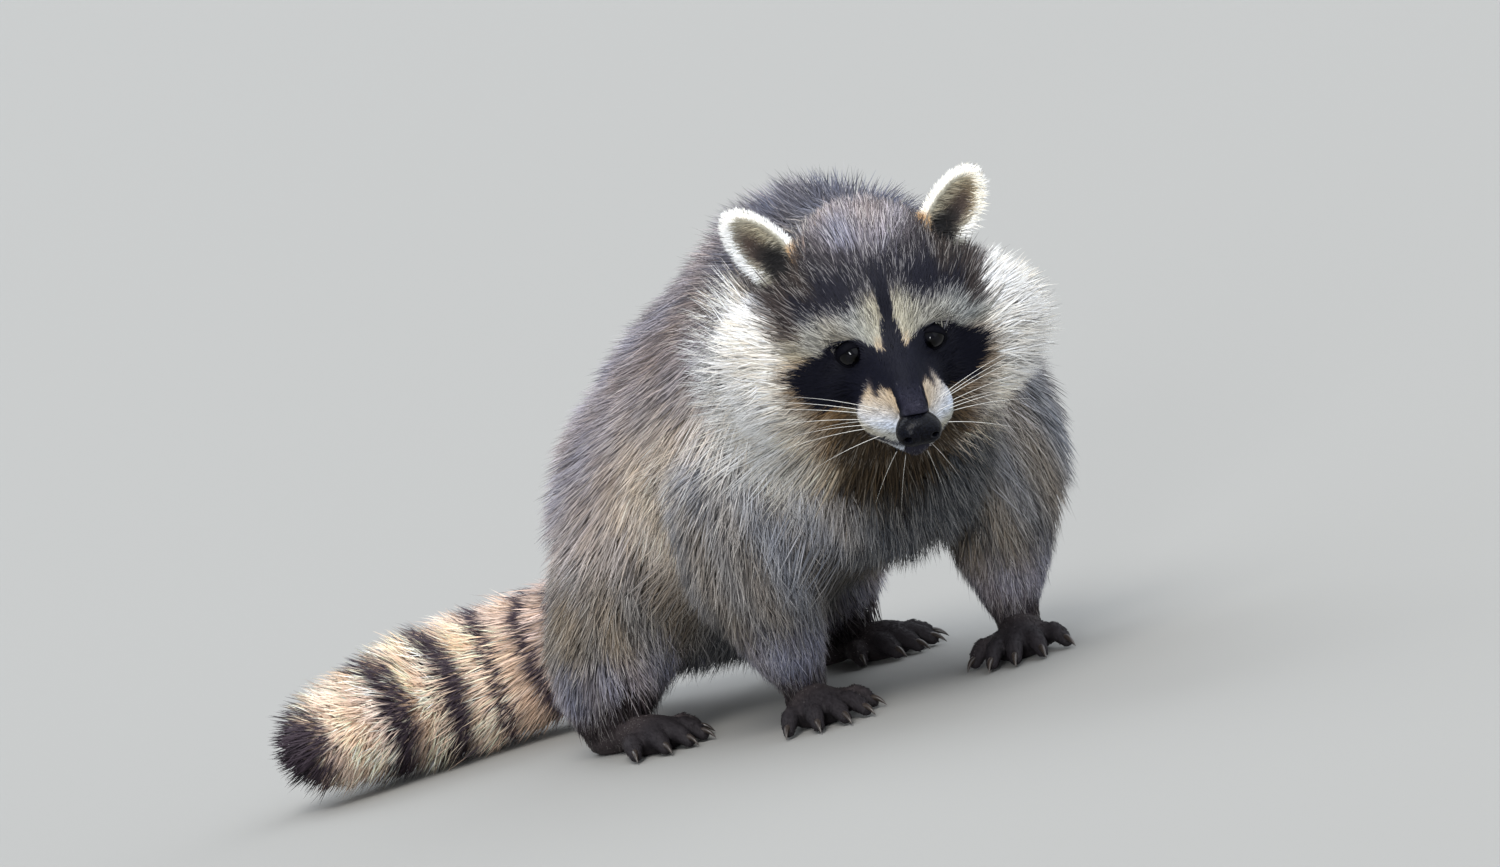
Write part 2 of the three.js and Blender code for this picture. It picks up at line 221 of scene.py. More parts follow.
def blend(k, *forms):
    def distance(p):
        d = forms[0](p)
        for form in forms[1:]:
            d = soft_least(d, form(p), k)
        return d

    return distance


def both(centre, radii, turn=(0, 0, 0)):
    """The same ellipsoid on the animal's left and mirrored on its right."""
    x, y, z = centre
    return ellipsoid(centre, radii, turn), ellipsoid((-x, y, z), radii, (turn[0], -turn[1], -turn[2]))


def middle_of(name):
    corners = corners_of(name)
    return (corners.min(0) + corners.max(0)) / 2


# The head's own frame has its face towards -Y. The eyes and nose, whose places in it are known, give its
# place. Places that come in pairs are those of the left side, and side is 1 there and -1 on the right.
BOTH_SIDES = (("left", 1), ("right", -1))
EYE_AT = np.array([21.4, -39, 10])
EYE_RADIUS = 7.4
NOSE_AT = np.array([0, -92, -15])
NOSE_TILT = (-12, 0, 0)
HEAD_FROM_BODY = np.array([-29, -215, 198.5])  # the head frame's origin in the animal's own frame


def frame_of(across, ahead):
    """Three axes at right angles, as columns: across, then ahead as near as it may be, then the third."""
    x = across / np.linalg.norm(across)
    y = ahead - (ahead @ x) * x
    y /= np.linalg.norm(y)
    return np.stack([x, y, np.cross(x, y)], axis=1)


brow_centre = (middle_of("eye_left") + middle_of("eye_right")) / 2
HEAD_TURN = (
    frame_of(middle_of("eye_left") - middle_of("eye_right"), middle_of("nose") - brow_centre)
    @ frame_of(np.array([1.0, 0, 0]), NOSE_AT - EYE_AT * [0, 1, 1]).T
)
HEAD_ORIGIN = brow_centre - HEAD_TURN @ (EYE_AT * [0, 1, 1])
BODY_ORIGIN = HEAD_ORIGIN - HEAD_FROM_BODY


def to_head(p):
    return (p - HEAD_ORIGIN) @ HEAD_TURN


def from_head(p):
    return np.asarray(p) @ HEAD_TURN.T + HEAD_ORIGIN


# Skull, cheek muscles, throat, brow and muzzle under the fur, and the lower jaw, which leaves a crease
# for the mouth.
skull = blend(
    14,
    ellipsoid([0, 14, 6], [51, 48, 40]),
    ellipsoid([0, 22, 14], [32, 36, 34]),
    *both([31, -6, -8], [22, 28, 27]),
    ellipsoid([0, 0, -26], [36, 36, 24]),
)
face = blend(
    9,
    ellipsoid([0, -20, 13], [41, 26.4, 25]),
    limb([0, -34, -8], [0, -78, -19], 23.2, 11.4),
    limb([0, -38, 7], [0, -90, -8], 10.4, 6.6),
    *both([11.2, -62, -19], [11.4, 18, 10.4], (0, 0, -15)),
)
jaw = limb([0, -28, -25], [0, -72, -29.5], 17, 7.2)
SOCKET_RADIUS = 8.5
nose_bed = ellipsoid(NOSE_AT + [0, -3, 0], [10.5, 10, 8.5], NOSE_TILT)
FACE_RUN, JAW_RUN, SOCKET_EDGE, BED_EDGE = 13, 3, 2.5, 2


def head_form(p):
    d = soft_least(skull(p), face(p), FACE_RUN)
    d = soft_least(d, jaw(p), JAW_RUN)
    for _, side in BOTH_SIDES:
        eye = np.linalg.norm(p - EYE_AT * [side, 1, 1], axis=-1) - SOCKET_RADIUS
        d = pressed_out(d, eye, SOCKET_EDGE)
    return pressed_out(d, nose_bed(p), BED_EDGE)


# An ear is a cup that leans outwards: a flat form with a smaller one pressed out of its front, on a stem
# that runs from EAR_FOOT in the ear's own frame to EAR_ROOT in the head's.
EAR_CENTRE = (49.8, 20, 49.2)
EAR_RADII = (13.3, 5.2, 27.4)
EAR_CUP_RADII = (10.6, 7.2, 24.6)
EAR_CUP_AHEAD = 6
EAR_RIM_EDGE = 1.5
EAR_TAPER = 0.06  # how much wider the base is than the middle
EAR_FOOT = (0, 1, -18)
EAR_ROOT = (31, 14, 22)
EAR_STEM_RADII = (9, 14)
EAR_STEM_RUN = 8
EAR_TILT = -30  # degrees about X, which lean it back
EAR_LEAN = {1: 41, -1: -35}  # degrees out from upright, left and right
EAR_TWIST = 6


def ear_turn(side):
    return EAR_TILT, EAR_LEAN[side], side * EAR_TWIST


def ear_form(side):
    centre = np.array(EAR_CENTRE) * [side, 1, 1]
    turned = rotation(*ear_turn(side))
    outer = ellipsoid([0, 0, 0], EAR_RADII)
    cup = ellipsoid([0, -EAR_CUP_AHEAD, 0], EAR_CUP_RADII)
    stem = limb(centre + turned @ EAR_FOOT, np.array(EAR_ROOT) * [side, 1, 1], *EAR_STEM_RADII)

    def distance(p):
        q = (p - centre) @ turned
        q[:, 0] /= 1 - EAR_TAPER * np.clip(q[:, 2] / EAR_RADII[2], -1, 1)
        return soft_least(pressed_out(outer(q), cup(q), EAR_RIM_EDGE), stem(p), EAR_STEM_RUN)

    return distance


# Legs and tail by their joints, [x, y, z, radius of the skin], in the animal's own frame.
LEGS = {
    "foreleg_left": [[80, -132, 136, 28], [79, -130, 96, 21], [76, -126, 54, 14], [76, -122, 26, 11]],
    "foreleg_right": [[-60, -104, 130, 26], [-62, -98, 90, 19], [-54, -92, 52, 13.5], [-46, -86, 26, 11]],
    "hindleg_left": [[60, 34, 88, 28], [76, 42, 58, 22], [82, 60, 36, 15], [80, 70, 22, 11.5]],
    "hindleg_right": [[-56, 30, 88, 28], [-74, 34, 58, 22], [-80, 46, 36, 15], [-79, 54, 22, 11.5]],
}
TAIL_PATH = np.array([
    [4, 84, 84], [3, 134, 62], [-14, 178, 43], [-46, 210, 39], [-94, 220, 38.5], [-150, 226, 36],
])
TAIL_SKIN = [13, 12, 11, 10, 8.5, 6]
leg_forms = {name: blend(14, *chain(joints)) for name, joints in LEGS.items()}
tail_form = blend(10, *chain([[*p, r] for p, r in zip(TAIL_PATH, TAIL_SKIN)]))

# Feet in their own frames: the wrist or heel at the origin, toes towards -Y, the sole at Z = 0. Each
# toe's row is how far out and back it starts, how far it is spread, and its share of the longest toe's
# length.
TOES = [(-15, 12, -34, 0.72), (-10, 0, -16, 0.95), (-3, -3, -4, 1), (5, -2, 9, 0.97), (12, 5, 26, 0.85)]
FORE = {"palm": 34, "width": 16.2, "toe": 30, "knuckle": 4.7, "tip": 3.3}
HIND = {"palm": 66, "width": 16.2, "toe": 25, "knuckle": 4.9, "tip": 3.5}
PAWS = {
    "forepaw_left": (FORE, 1, (76, -122, 0), -38),
    "forepaw_right": (FORE, -1, (-44, -84, 0), -24),
    "hindpaw_left": (HIND, 1, (80, 76, 0), 8),
    "hindpaw_right": (HIND, -1, (-79, 60, 0), -8),
}


def toe_line(kind, side, toe):
    """Root, knuckle and tip of a toe, and the way it points."""
    out, back, spread, share = toe
    angle = math.radians(spread) * side
    root = np.array([side * out, -kind["palm"] + back + 6, 8.5])
    ahead = np.array([math.sin(angle), -math.cos(angle), 0])
    knuckle = root + ahead * kind["toe"] * share * 0.5
    tip = root + ahead * kind["toe"] * share
    knuckle[2], tip[2] = 9.5, 4
    return root, knuckle, tip, ahead


def paw_form(kind, side):
    """Palm and toes, with the joints of each toe a little thicker and a pad under its tip."""
    palm = kind["palm"]
    forms = [
        limb([0, 0, 13], [0, -palm, 9], 11.2, 8.8),
        ellipsoid([-side, -palm + 8, 7], [kind["width"], 14, 9]),
        ellipsoid([0, -8, 6], [11, 13, 8]),
    ]
    hand = blend(8, *forms)
    fingers = []
    for toe in TOES:
        root, knuckle, tip, ahead = toe_line(kind, side, toe)
        middle = (knuckle + tip) / 2 + [0, 0, 1]
        fingers.append(blend(
            2.5,
            limb(root, knuckle, kind["knuckle"] * 1.05, kind["knuckle"] * 0.9),
            limb(knuckle, middle, kind["knuckle"], kind["knuckle"] * 0.82),
            limb(middle, tip, kind["knuckle"] * 0.86, kind["tip"]),
        ))
    toes = blend(1.2, *fingers)
    return lambda p: soft_least(hand(p), toes(p), 5)


def to_paw(name, p):
    _, _, at, turn = PAWS[name]
    return (p - BODY_ORIGIN - at) @ rotation(0, 0, turn)


def from_paw(name, p):
    _, _, at, turn = PAWS[name]
    return np.asarray(p) @ rotation(0, 0, turn).T + at + BODY_ORIGIN


paw_forms = {name: paw_form(kind, side) for name, (kind, side, _, _) in PAWS.items()}


def trunk_part(p):
    return coat(p) + TRUNK_DEPTH


def head_part(p):
    return head_form(to_head(p))


def ears_part(p):
    h = to_head(p)
    return np.minimum(ear_form(1)(h), ear_form(-1)(h))


def legs_part(p):
    q = p - BODY_ORIGIN
    return np.min([form(q) for form in leg_forms.values()], axis=0)


def tail_part(p):
    return tail_form(p - BODY_ORIGIN)


def paws_part(p):
    return np.min([paw_forms[name](to_paw(name, p)) for name in PAWS], axis=0)


# The solids of the head, ears and feet are small against their flat faces. Round the head the coat's outline
# is redrawn here from its form, which is the same as the skin's but for the fur.
head_coat = blend(
    18,
    ellipsoid([0, 14, 8], [60, 56, 48]),
    ellipsoid([0, 22, 24], [40, 44, 42]),
    *both([51, -3, -6], [47, 29, 44], (0, 12, 9)),
    ellipsoid([0, -2, -36], [58, 38, 38]),
    blend(
        10,
        ellipsoid([0, -20, 14], [42, 28, 27]),
        limb([0, -34, -8], [0, -78, -19], 25, 13),
        limb([0, -38, 7], [0, -90, -8], 12, 8),
        limb([0, -28, -26], [0, -74, -30], 19, 8),
        *both([11.5, -62, -19], [13, 19.5, 12], (0, 0, -15)),
    ),
)
HEAD_MARGIN = 8


def lattice(axes):
    """All the points of a lattice that has these places along its axes."""
    return np.stack([x.ravel() for x in np.meshgrid(*axes, indexing="ij")], axis=1)


first, last = (
    ((np.array(corner) / MM + pad - COAT_LOW) / COAT_CELL).astype(int)
    for corner, pad in zip(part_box("head"), (-HEAD_MARGIN, HEAD_MARGIN))
)
near_head = tuple(slice(max(a, 0), b) for a, b in zip(first, last))
near_axes = [COAT_LOW[i] + COAT_CELL * np.arange(near.start, near.stop) for i, near in enumerate(near_head)]
redrawn = head_coat(to_head(lattice(near_axes))).reshape(coat_field[near_head].shape)
coat_field[near_head] = np.minimum(coat_field[near_head], redrawn)

skin_low = np.floor(COAT_LOW / SKIN_CELL).astype(int)
skin_high = np.ceil((COAT_LOW + (np.array(coat_field.shape) - 1) * COAT_CELL) / SKIN_CELL).astype(int)
skin_axes = [np.arange(a, b) * SKIN_CELL for a, b in zip(skin_low, skin_high)]


def drawn_finer(field):
    """The coat's field on the skin's finer cells."""
    for axis, places in enumerate(skin_axes):
        q = (places - COAT_LOW[axis]) / COAT_CELL
        i = np.clip(np.floor(q).astype(int), 0, field.shape[axis] - 2)
        f = np.clip(q - i, 0, 1).astype(np.float32)
        f = f.reshape([-1 if a == axis else 1 for a in range(3)])
        field = np.take(field, i, axis) * (1 - f) + np.take(field, i + 1, axis) * f
    return field


skin_field = drawn_finer(coat_field) + TRUNK_DEPTH


NODE_MARGIN = 6


def run_in(part, names, k):
    """Joins a part to the skin's field, in the box round the CAD nodes of these names."""
    boxes = [[np.array(corner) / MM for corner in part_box(name)] for name in names]
    lower = np.min([box[0] for box in boxes], 0) - NODE_MARGIN
    upper = np.max([box[1] for box in boxes], 0) + NODE_MARGIN
    span = tuple(slice(*np.searchsorted(skin_axes[i], [lower[i], upper[i]])) for i in range(3))
    p = lattice([skin_axes[i][span[i]] for i in range(3)]).astype(np.float32)
    d = part(p).reshape(skin_field[span].shape)
    skin_field[span] = soft_least(skin_field[span], d, k)


# Millimetres over which each part's skin runs into the trunk's.
RUN_OF = {"head": 14, "ear": 6, "leg": 16, "tail": 16, "paw": 6}
run_in(head_part, ["head"], RUN_OF["head"])
for side_name, side in BOTH_SIDES:
    ear = ear_form(side)
    run_in(lambda p: ear(to_head(p)), ["ear_" + side_name], RUN_OF["ear"])
for name in LEGS:
    form = leg_forms[name]
    run_in(lambda p: form(p - BODY_ORIGIN), [name], RUN_OF["leg"])
run_in(tail_part, ["tail_base", "tail_middle", "tail_tip"], RUN_OF["tail"])
for name in PAWS:
    run_in(lambda p: paw_forms[name](to_paw(name, p)), [name], RUN_OF["paw"])
floor_side = -skin_axes[2].astype(np.float32)
skin_field = np.maximum(skin_field, floor_side[None, None, :])


def surface_of(field, cell):
    """Points, counted in cells, and quads of the surface at which a field of distances, mm, is nought."""
    grid = vdb.FloatGrid(BAND * cell)
    grid.copyFromArray(np.clip(field, -BAND * cell, BAND * cell).astype(np.float32), tolerance=0.0)
    return grid.convertToQuads(isovalue=0.0)


skin_points, skin_quads = surface_of(skin_field, SKIN_CELL)
skin_points = (skin_points + skin_low) * SKIN_CELL


def unit(v):
    return v / np.maximum(np.linalg.norm(v, axis=-1, keepdims=True), 1e-9)


def quad_normals(points, quads):
    a, b, c, d = (points[quads[:, i]] for i in range(4))
    return np.cross(c - a, d - b) / 2


outwards = skin_points[skin_quads].mean(1) - skin_points.mean(0)
if np.sum(quad_normals(skin_points, skin_quads) * outwards) < 0:
    skin_quads = skin_quads[:, ::-1].copy()


def point_normals(points, quads):
    flat = quad_normals(points, quads)
    total = np.zeros_like(points)
    for i in range(4):
        np.add.at(total, quads[:, i], flat)
    return unit(total)


# ---- the markings --------------------------------------------------------------------------------
# The same for the hide and the hair: a black mask with cream brows and white ruffs, a grizzled grey-brown
# body that darkens along the back, dark feet, and a buff tail with dark rings. Colours are sRGB out of
# 255.
def soft(start, end, x):
    """0 before start, 1 after end, and a smooth run between."""
    t = np.clip((x - start) / (end - start), 0, 1)
    return t * t * (3 - 2 * t)


def fades(x, start, end):
    """1 before start, 0 after end, and a smooth run between."""
    return 1 - soft(start, end, x)


def between(x, low, high, edge):
    return soft(low - edge, low + edge, x) * fades(x, high - edge, high + edge)


def repeated(row, count):
    """One colour or direction for as many points."""
    return np.tile(np.array(row, float), (count, 1))


def laid_over(colours, colour, share):
    return colours + (np.array(colour, float) - colours) * share[:, None]


def painted(colours, marks):
    """Lays marks over colours in turn. Each is a colour and how much of each point it takes."""
    for colour, share in marks:
        colours = laid_over(colours, colour, share)
    return colours


BLACK = (9, 10, 25)
BRIDGE = (44, 43, 58)
CREAM = (172, 170, 156)
BROW_GREY = (166, 167, 162)
BROW_TAN = (182, 160, 132)
WHITE = (246, 243, 238)
RUFF_CREAM = (236, 228, 216)
CHEEK_BROWN = (124, 102, 78)
MUZZLE_TAN = (188, 174, 156)
# the muzzle's white, dimmed and tinted blue as painted shade
MUZZLE_WHITE_IN_SHADE = (198, 206, 220)
FOREHEAD = (60, 56, 60)
CROWN = (146, 140, 148)
TEMPLE = (62, 54, 52)
NAPE = (96, 97, 110)
BACK = (152, 145, 151)
FLANK = (222, 212, 203)
# painted shade: the lower flanks are darker, as if in the shade under the body
SHADED_LOW_FLANK = (116, 112, 109)
# painted shade: the chest and underside, as if in the shade between the forelegs and under the body
SHADED_CHEST = (70, 72, 76)
SHOULDER = (156, 156, 161)
# a brown throat, darkened further as painted shade under the chin
THROAT_BROWN_AND_SHADE = (58, 48, 34)
LEG = (136, 136, 152)
FOOT = (56, 49, 50)
TOE = (36, 32, 35)
TAIL_BUFF = (255, 224, 200)
TAIL_BASE = (186, 166, 158)
TAIL_DARK = (66, 56, 64)
EAR_WHITE = (252, 250, 244)
EAR_INSIDE = (168, 164, 148)
# partly painted shade: the ear's brown middle and black hollow are darkened as in the shade of the cup
EAR_DEEP_AND_SHADE = (78, 66, 60)
SHADED_EAR_HOLLOW = (26, 25, 26)
EAR_TAN = (196, 158, 116)
EAR_BASE = (58, 50, 46)

# Edges of the face's markings, as heights over the distance out from the middle of the face. The stripe's
# is its half width over the height. The height of the back, over its place along the body, falls away to
# the rump, so that the flank's bands are measured down from it.
MASK_TOP = ([0, 8, 14, 20, 30, 40, 50, 56, 60], [14, 14, 18, 20, 18, 11, 5, 0, -6])
MASK_FOOT = ([6, 8, 12, 17, 21, 26, 31, 40, 45, 50, 57], [-60, 1, 0, -7, -14, -21, -24, -23, -20, -14, -5])
BROW_TOP = ([4, 8, 14, 20, 40, 50, 60], [38, 39, 36, 33, 30, 24, 15])
STRIPE = ([12, 20, 30, 40, 48, 58], [6.2, 5.4, 3.6, 3.4, 4.5, 6])
BACK_HEIGHT = ([-180, -124, -40, 40, 120], [250, 283, 262, 205, 150])
BODY_MIDDLE = 4  # how far to the left the middle of the trunk lies
TAIL_RINGS = [(-60, 22), (55, 73), (90, 107), (128, 144), (167, 182), (204, 219), (240, 254)]
TAIL_END = 29  # mm of fur beyond the end of the tail's own path
RING_BLUR = 4

tail_steps = np.linalg.norm(np.diff(TAIL_PATH, axis=0), axis=1)
TAIL_LENGTH = tail_steps.sum()


def along_tail(p):
    """How far points lie along the tail, mm, how far off its middle line, and the way it runs there."""
    q = p - BODY_ORIGIN
    best = np.full(len(q), np.inf)
    at = np.zeros(len(q))
    way = np.zeros((len(q), 3))
    done = 0
    for a, b, length in zip(TAIL_PATH, TAIL_PATH[1:], tail_steps):
        t = (q - a) @ (b - a) / length**2
        t = np.clip(t, 0, 1)
        off = np.linalg.norm(q - (a + t[:, None] * (b - a)), axis=1)
        nearer = off < best
        best = np.where(nearer, off, best)
        at = np.where(nearer, done + t * length, at)
        way[nearer] = (b - a) / length
        done += length
    beyond = (q - TAIL_PATH[-1]) @ (TAIL_PATH[-1] - TAIL_PATH[-2]) / tail_steps[-1]
    return at + np.maximum(beyond, 0), best, way


def to_ear(h):
    """Points of the head's frame in the nearer ear's: across it, behind and up, as shares of its radii."""
    side = np.sign(h[:, 0])
    made = np.empty_like(h)
    for s in (1, -1):
        mine = (side >= 0) if s > 0 else (side < 0)
        made[mine] = (h[mine] - np.array(EAR_CENTRE) * [s, 1, 1]) @ rotation(*ear_turn(s))
        made[mine, 0] *= s
    made /= EAR_RADII
    made[:, 0] /= 1 - EAR_TAPER * np.clip(made[:, 2], -1, 1)
    return made


def cheeks_and_brow(x, y, z):
    """Brown cheeks, cream ruffs and brows, a dark forehead with its stripe, and a grizzled crown."""
    over_brow = z - np.interp(x, *BROW_TOP)
    band = between(over_brow, 0, 14, 5) * (0.50 + 0.30 * soft(10, 20, x)) * fades(x, 44, 54)
    stripe = fades(x - np.interp(z, *STRIPE), -0.8, 0.8) * soft(8, 14, z) * fades(z, 40, 52)
    return painted(repeated(CHEEK_BROWN, len(x)), [
        (RUFF_CREAM, soft(40, 60, x + np.maximum(-z - 24, 0) * 0.2)),
        # partly painted shade: the brown throat, darkened as in the shade under the chin
        (THROAT_BROWN_AND_SHADE, 0.75 * fades(z, -36, -24) * fades(x, 28, 44)),
        (CREAM, soft(4, 14, z)),
        (BROW_GREY, soft(12, 22, x) * soft(8, 16, z)),
        (BROW_TAN, between(x, 4, 10, 2) * between(z, 8, 20, 4) * 0.7),
        (FOREHEAD, soft(-4, 6, over_brow)),
        (BLACK, band),
        (CROWN, soft(49, 60, z) * fades(x, 28, 42) * fades(y, 34, 56)),
        (TEMPLE, between(x, 47, 62, 4) * between(z, 20, 42, 5)),
        (BLACK, stripe),
        (EAR_BASE, between(x, 34, 60, 5) * soft(33, 41, z) * fades(y, 20, 32)),
        (WHITE, soft(56, 66, x) * fades(z, 32, 50)),
        (RUFF_CREAM, between(x, 56, 64, 4) * between(z, -20, 4, 8) * 0.6),
    ])


def head_colours(h):
    """A muzzle tan above and white below, a mask edged with brown and cream, and a dark bridge and lips."""
    x, y, z = np.abs(h[:, 0]), h[:, 1], h[:, 2]
    low = np.interp(x, *MASK_FOOT)
    muzzle = fades(y, -50, -42)
    beside_nose = soft(13, 17, x) * fades(z, -4, 2)
    # the white below the tan carries painted shade, which makes it dimmer and bluer than white
    tan_to_white = laid_over(repeated(MUZZLE_TAN, len(h)), MUZZLE_WHITE_IN_SHADE, soft(-3, -18, z))
    mask = soft(-1.5, 1.0, z - low) * soft(-1.5, 1.2, np.interp(x, *MASK_TOP) - z)
    off_muzzle = 1 - soft(14, 18, x) * fades(y, -58, -50)
    lips = fades(y, -62, -56) * between(z, -27.5, -24.5, 1) * soft(2, 8, x)
    return painted(cheeks_and_brow(x, y, z), [
        (tan_to_white, muzzle * np.maximum(soft(0, 1.5, low - z), beside_nose)),
        (CHEEK_BROWN, between(x, 48, 60, 4) * between(z, -22, 2, 6) * 0.7),
        (CREAM, between(z, -29, -19, 3) * between(x, 8, 34, 6) * fades(y, -34, -22) * 0.8),
        (BLACK, mask * fades(y, 2, 14) * off_muzzle * fades(x, 54, 60)),
        (BRIDGE, fades(x, 5.4, 7.0) * fades(z, -2, 6) * muzzle),
        (BLACK, lips * 0.8),
    ])


def ear_colours(h):
    """A white rim, a grey-cream inside with a brown middle and black hollow, and a tan spot at its foot."""
    e = to_ear(h)
    x, z = e[:, 0], e[:, 2]
    rim = np.hypot(x, z)
    white = soft(0.80, 0.90, rim + 0.03 * soft(0, 0.8, x)) * soft(-0.50, -0.18, z)
    return painted(repeated(EAR_INSIDE, len(h)), [
        # partly painted shade: the middle and the hollow of the cup darken as if shade fell in them
        (EAR_DEEP_AND_SHADE, fades(np.hypot(x - 0.25, (z - 0.15) * 0.9), 0.15, 0.62)),
        (SHADED_EAR_HOLLOW, fades(np.hypot(x - 0.1, (z + 0.62) * 0.8), 0.38, 0.78)),
        (EAR_BASE, soft(0.0, 0.6, e[:, 1])),
        (EAR_WHITE, white),
        (EAR_TAN, soft(0.50, 0.75, rim) * between(z, -0.66, -0.26, 0.10) * soft(0.1, 0.4, -x)),
        (EAR_BASE, fades(z, -0.98, -0.70)),
    ])


def body_colours(p):
    """A dark back over pale flanks, painted shade below and on the chest, the nape, throat and ruffs' ends.
    """
    b = p - BODY_ORIGIN
    x, y, z = np.abs(b[:, 0] - BODY_MIDDLE), b[:, 1], b[:, 2]
    top = np.interp(y, *BACK_HEIGHT)
    down = (top - z) / top
    ahead = fades(y, -150, -112) * soft(0.30, 0.55, down)
    h = to_head(p)
    nape = np.linalg.norm(h - [0, 40, 50], axis=1)
    ruff = np.linalg.norm((np.abs(h) * [1, 0, 0] + h * [0, 1, 1] - [74, 4, -46]) / [1, 1, 1.3], axis=1)
    throat = np.linalg.norm((h - [0, -26, -56]) / [1, 1, 1.1], axis=1)
    return painted(repeated(FLANK, len(p)), [
        (BACK, fades(down, 0.20, 0.50)),
        (BACK, 0.55 * soft(-50, 30, y)),
        # painted shade below: the lower flanks, the front of the chest and the underside darken where shade
        # falls
        (SHADED_LOW_FLANK, soft(0.56, 0.76, down)),
        (SHOULDER, ahead),
        (SHADED_CHEST, ahead * fades(x, 34, 60)),
        (SHADED_CHEST, soft(0.70, 0.85, down) * fades(x, 45, 70)),
        (NAPE, fades(nape, 70, 105)),
        (RUFF_CREAM, 0.85 * fades(ruff, 22, 46)),
        # partly painted shade: the throat's own brown, darkened as in the shade under the chin
        (THROAT_BROWN_AND_SHADE, fades(throat, 30, 58)),
    ])


def leg_colours(p):
    b = p - BODY_ORIGIN
    return painted(repeated(LEG, len(p)), [
        # painted shade: the tops of the legs take the shaded colour of the lower flanks
        (SHADED_LOW_FLANK, soft(38, 62, b[:, 2])),
        (SHOULDER, soft(50, 85, b[:, 2]) * fades(b[:, 1], -95, -60) * 0.35),
        (FOOT, fades(b[:, 2], 16, 30)),
    ])


def from_tail_tip(p):
    return TAIL_LENGTH + TAIL_END - along_tail(p)[0]


def buff_of_tail(p):
    return laid_over(repeated(TAIL_BUFF, len(p)), TAIL_BASE, soft(90, 190, from_tail_tip(p)))


def tail_colours(p):
    at = from_tail_tip(p)
    return painted(buff_of_tail(p), [(TAIL_DARK, between(at, *ring, RING_BLUR)) for ring in TAIL_RINGS])


def at_paw(q, behind, high):
    """Which points of a paw's frame are the paw's, to so far behind its heel and so high over the floor."""
    return (np.abs(q[:, 0]) < 40) & (q[:, 1] < behind) & (q[:, 1] > -110) & (q[:, 2] < high)


def paw_colours(p):
    toes = np.zeros(len(p))
    for name, (kind, _, _, _) in PAWS.items():
        q = to_paw(name, p)
        toes = np.where(at_paw(q, 10, 40), fades(q[:, 1], -kind["palm"] - 8, -kind["palm"] + 12), toes)
    return laid_over(repeated(FOOT, len(p)), TOE, toes)


PARTS = [
    (head_part, lambda p: head_colours(to_head(p))),
    (ears_part, lambda p: ear_colours(to_head(p))),
    (trunk_part, body_colours),
    (legs_part, leg_colours),
    (tail_part, tail_colours),
    (paws_part, paw_colours),
]
HEAD, EARS, TRUNK, LEG_PART, TAIL, FEET = range(len(PARTS))
PARTS_RUN = 3.0  # mm over which one part's fur gives way to the next's
KEPT_OFF = 40  # mm by which a part's form is held off where the fur is another's
LEGS_KEPT_OFF = 60


def shares_of(p):
    """How much each part of the animal has of each point, by how near its form is."""
    d = np.stack([part(p) for part, _ in PARTS], axis=1)
    h = to_head(p)
    # the head keeps its ruffs and crown, and the neck begins behind them
    behind = soft(24, 38, h[:, 1] - 0.1 * np.abs(h[:, 0]))
    behind = behind + soft(46, 64, -h[:, 2]) + soft(80, 96, np.abs(h[:, 2]))
    in_head = (1 - np.clip(behind, 0, 1)) * fades(np.linalg.norm(h, axis=1), 104, 118)
    d[:, TRUNK] += KEPT_OFF * in_head
    d[:, LEG_PART] += LEGS_KEPT_OFF * in_head
    d[:, HEAD] += KEPT_OFF * (1 - in_head)
    # past the rump the tail is all tail, however deep its fur
    at, off, _ = along_tail(p)
    d[:, TRUNK] += KEPT_OFF * soft(40, 62, at) * fades(off, 44, 58)
    made = np.exp(-(d - d.min(1, keepdims=True)) / PARTS_RUN)
    return made / made.sum(1, keepdims=True)


def marking(p, shares):
    """The coat's colour at points p, sRGB out of 255."""
    return sum(paint(p) * shares[:, [i]] for i, (_, paint) in enumerate(PARTS))


def linear(colours):
    s = np.clip(np.asarray(colours) / 255, 0, 1)
    return np.where(s <= 0.04045, s / 12.92, ((s + 0.055) / 1.055) ** 2.4)


# ---- the hide as a mesh --------------------------------------------------------------------------
# It is finest where the fur is short. Under long fur, where it hardly shows, it is drawn with fewer faces.
HIDE_TRIANGLES = 180000
skin_normals = point_normals(skin_points, skin_quads)
skin_depth = -coat(skin_points)
skin_shares = shares_of(skin_points)


def in_scene(name, data):
    """A new object in the scene, at the origin."""
    made = bpy.data.objects.new(name, data)
    bpy.context.scene.collection.objects.link(made)
    return made


def mesh_object(name, points, *face_sets):
    """A new smooth object from points in millimetres and sets of faces, each set of faces of one size."""
    mesh = bpy.data.meshes.new(name)
    corners = np.concatenate([faces.ravel() for faces in face_sets]).astype(np.int32)
    sizes = np.concatenate([np.full(len(faces), faces.shape[1]) for faces in face_sets])
    mesh.vertices.add(len(points))
    mesh.vertices.foreach_set("co", (points * MM).astype(np.float32).ravel())
    mesh.loops.add(len(corners))
    mesh.loops.foreach_set("vertex_index", corners)
    mesh.polygons.add(len(sizes))
    mesh.polygons.foreach_set("loop_start", (np.cumsum(sizes) - sizes).astype(np.int32))
    mesh.update(calc_edges=True)
    mesh.polygons.foreach_set("use_smooth", np.ones(len(sizes), bool))
    return in_scene(name, mesh)


def shaped_for_good(piece, modifier):
    """Puts the mesh that a modifier makes in place of the piece's own."""
    made = bpy.data.meshes.new_from_object(piece.evaluated_get(bpy.context.evaluated_depsgraph_get()))
    piece.modifiers.remove(modifier)
    piece.data = made


def paint_points(mesh, colours):
    layer = mesh.color_attributes.new("Markings", "FLOAT_COLOR", "POINT")
    rgba = np.ones((len(mesh.vertices), 4), np.float32)
    rgba[:, :3] = linear(colours)
    layer.data.foreach_set("color", rgba.ravel())


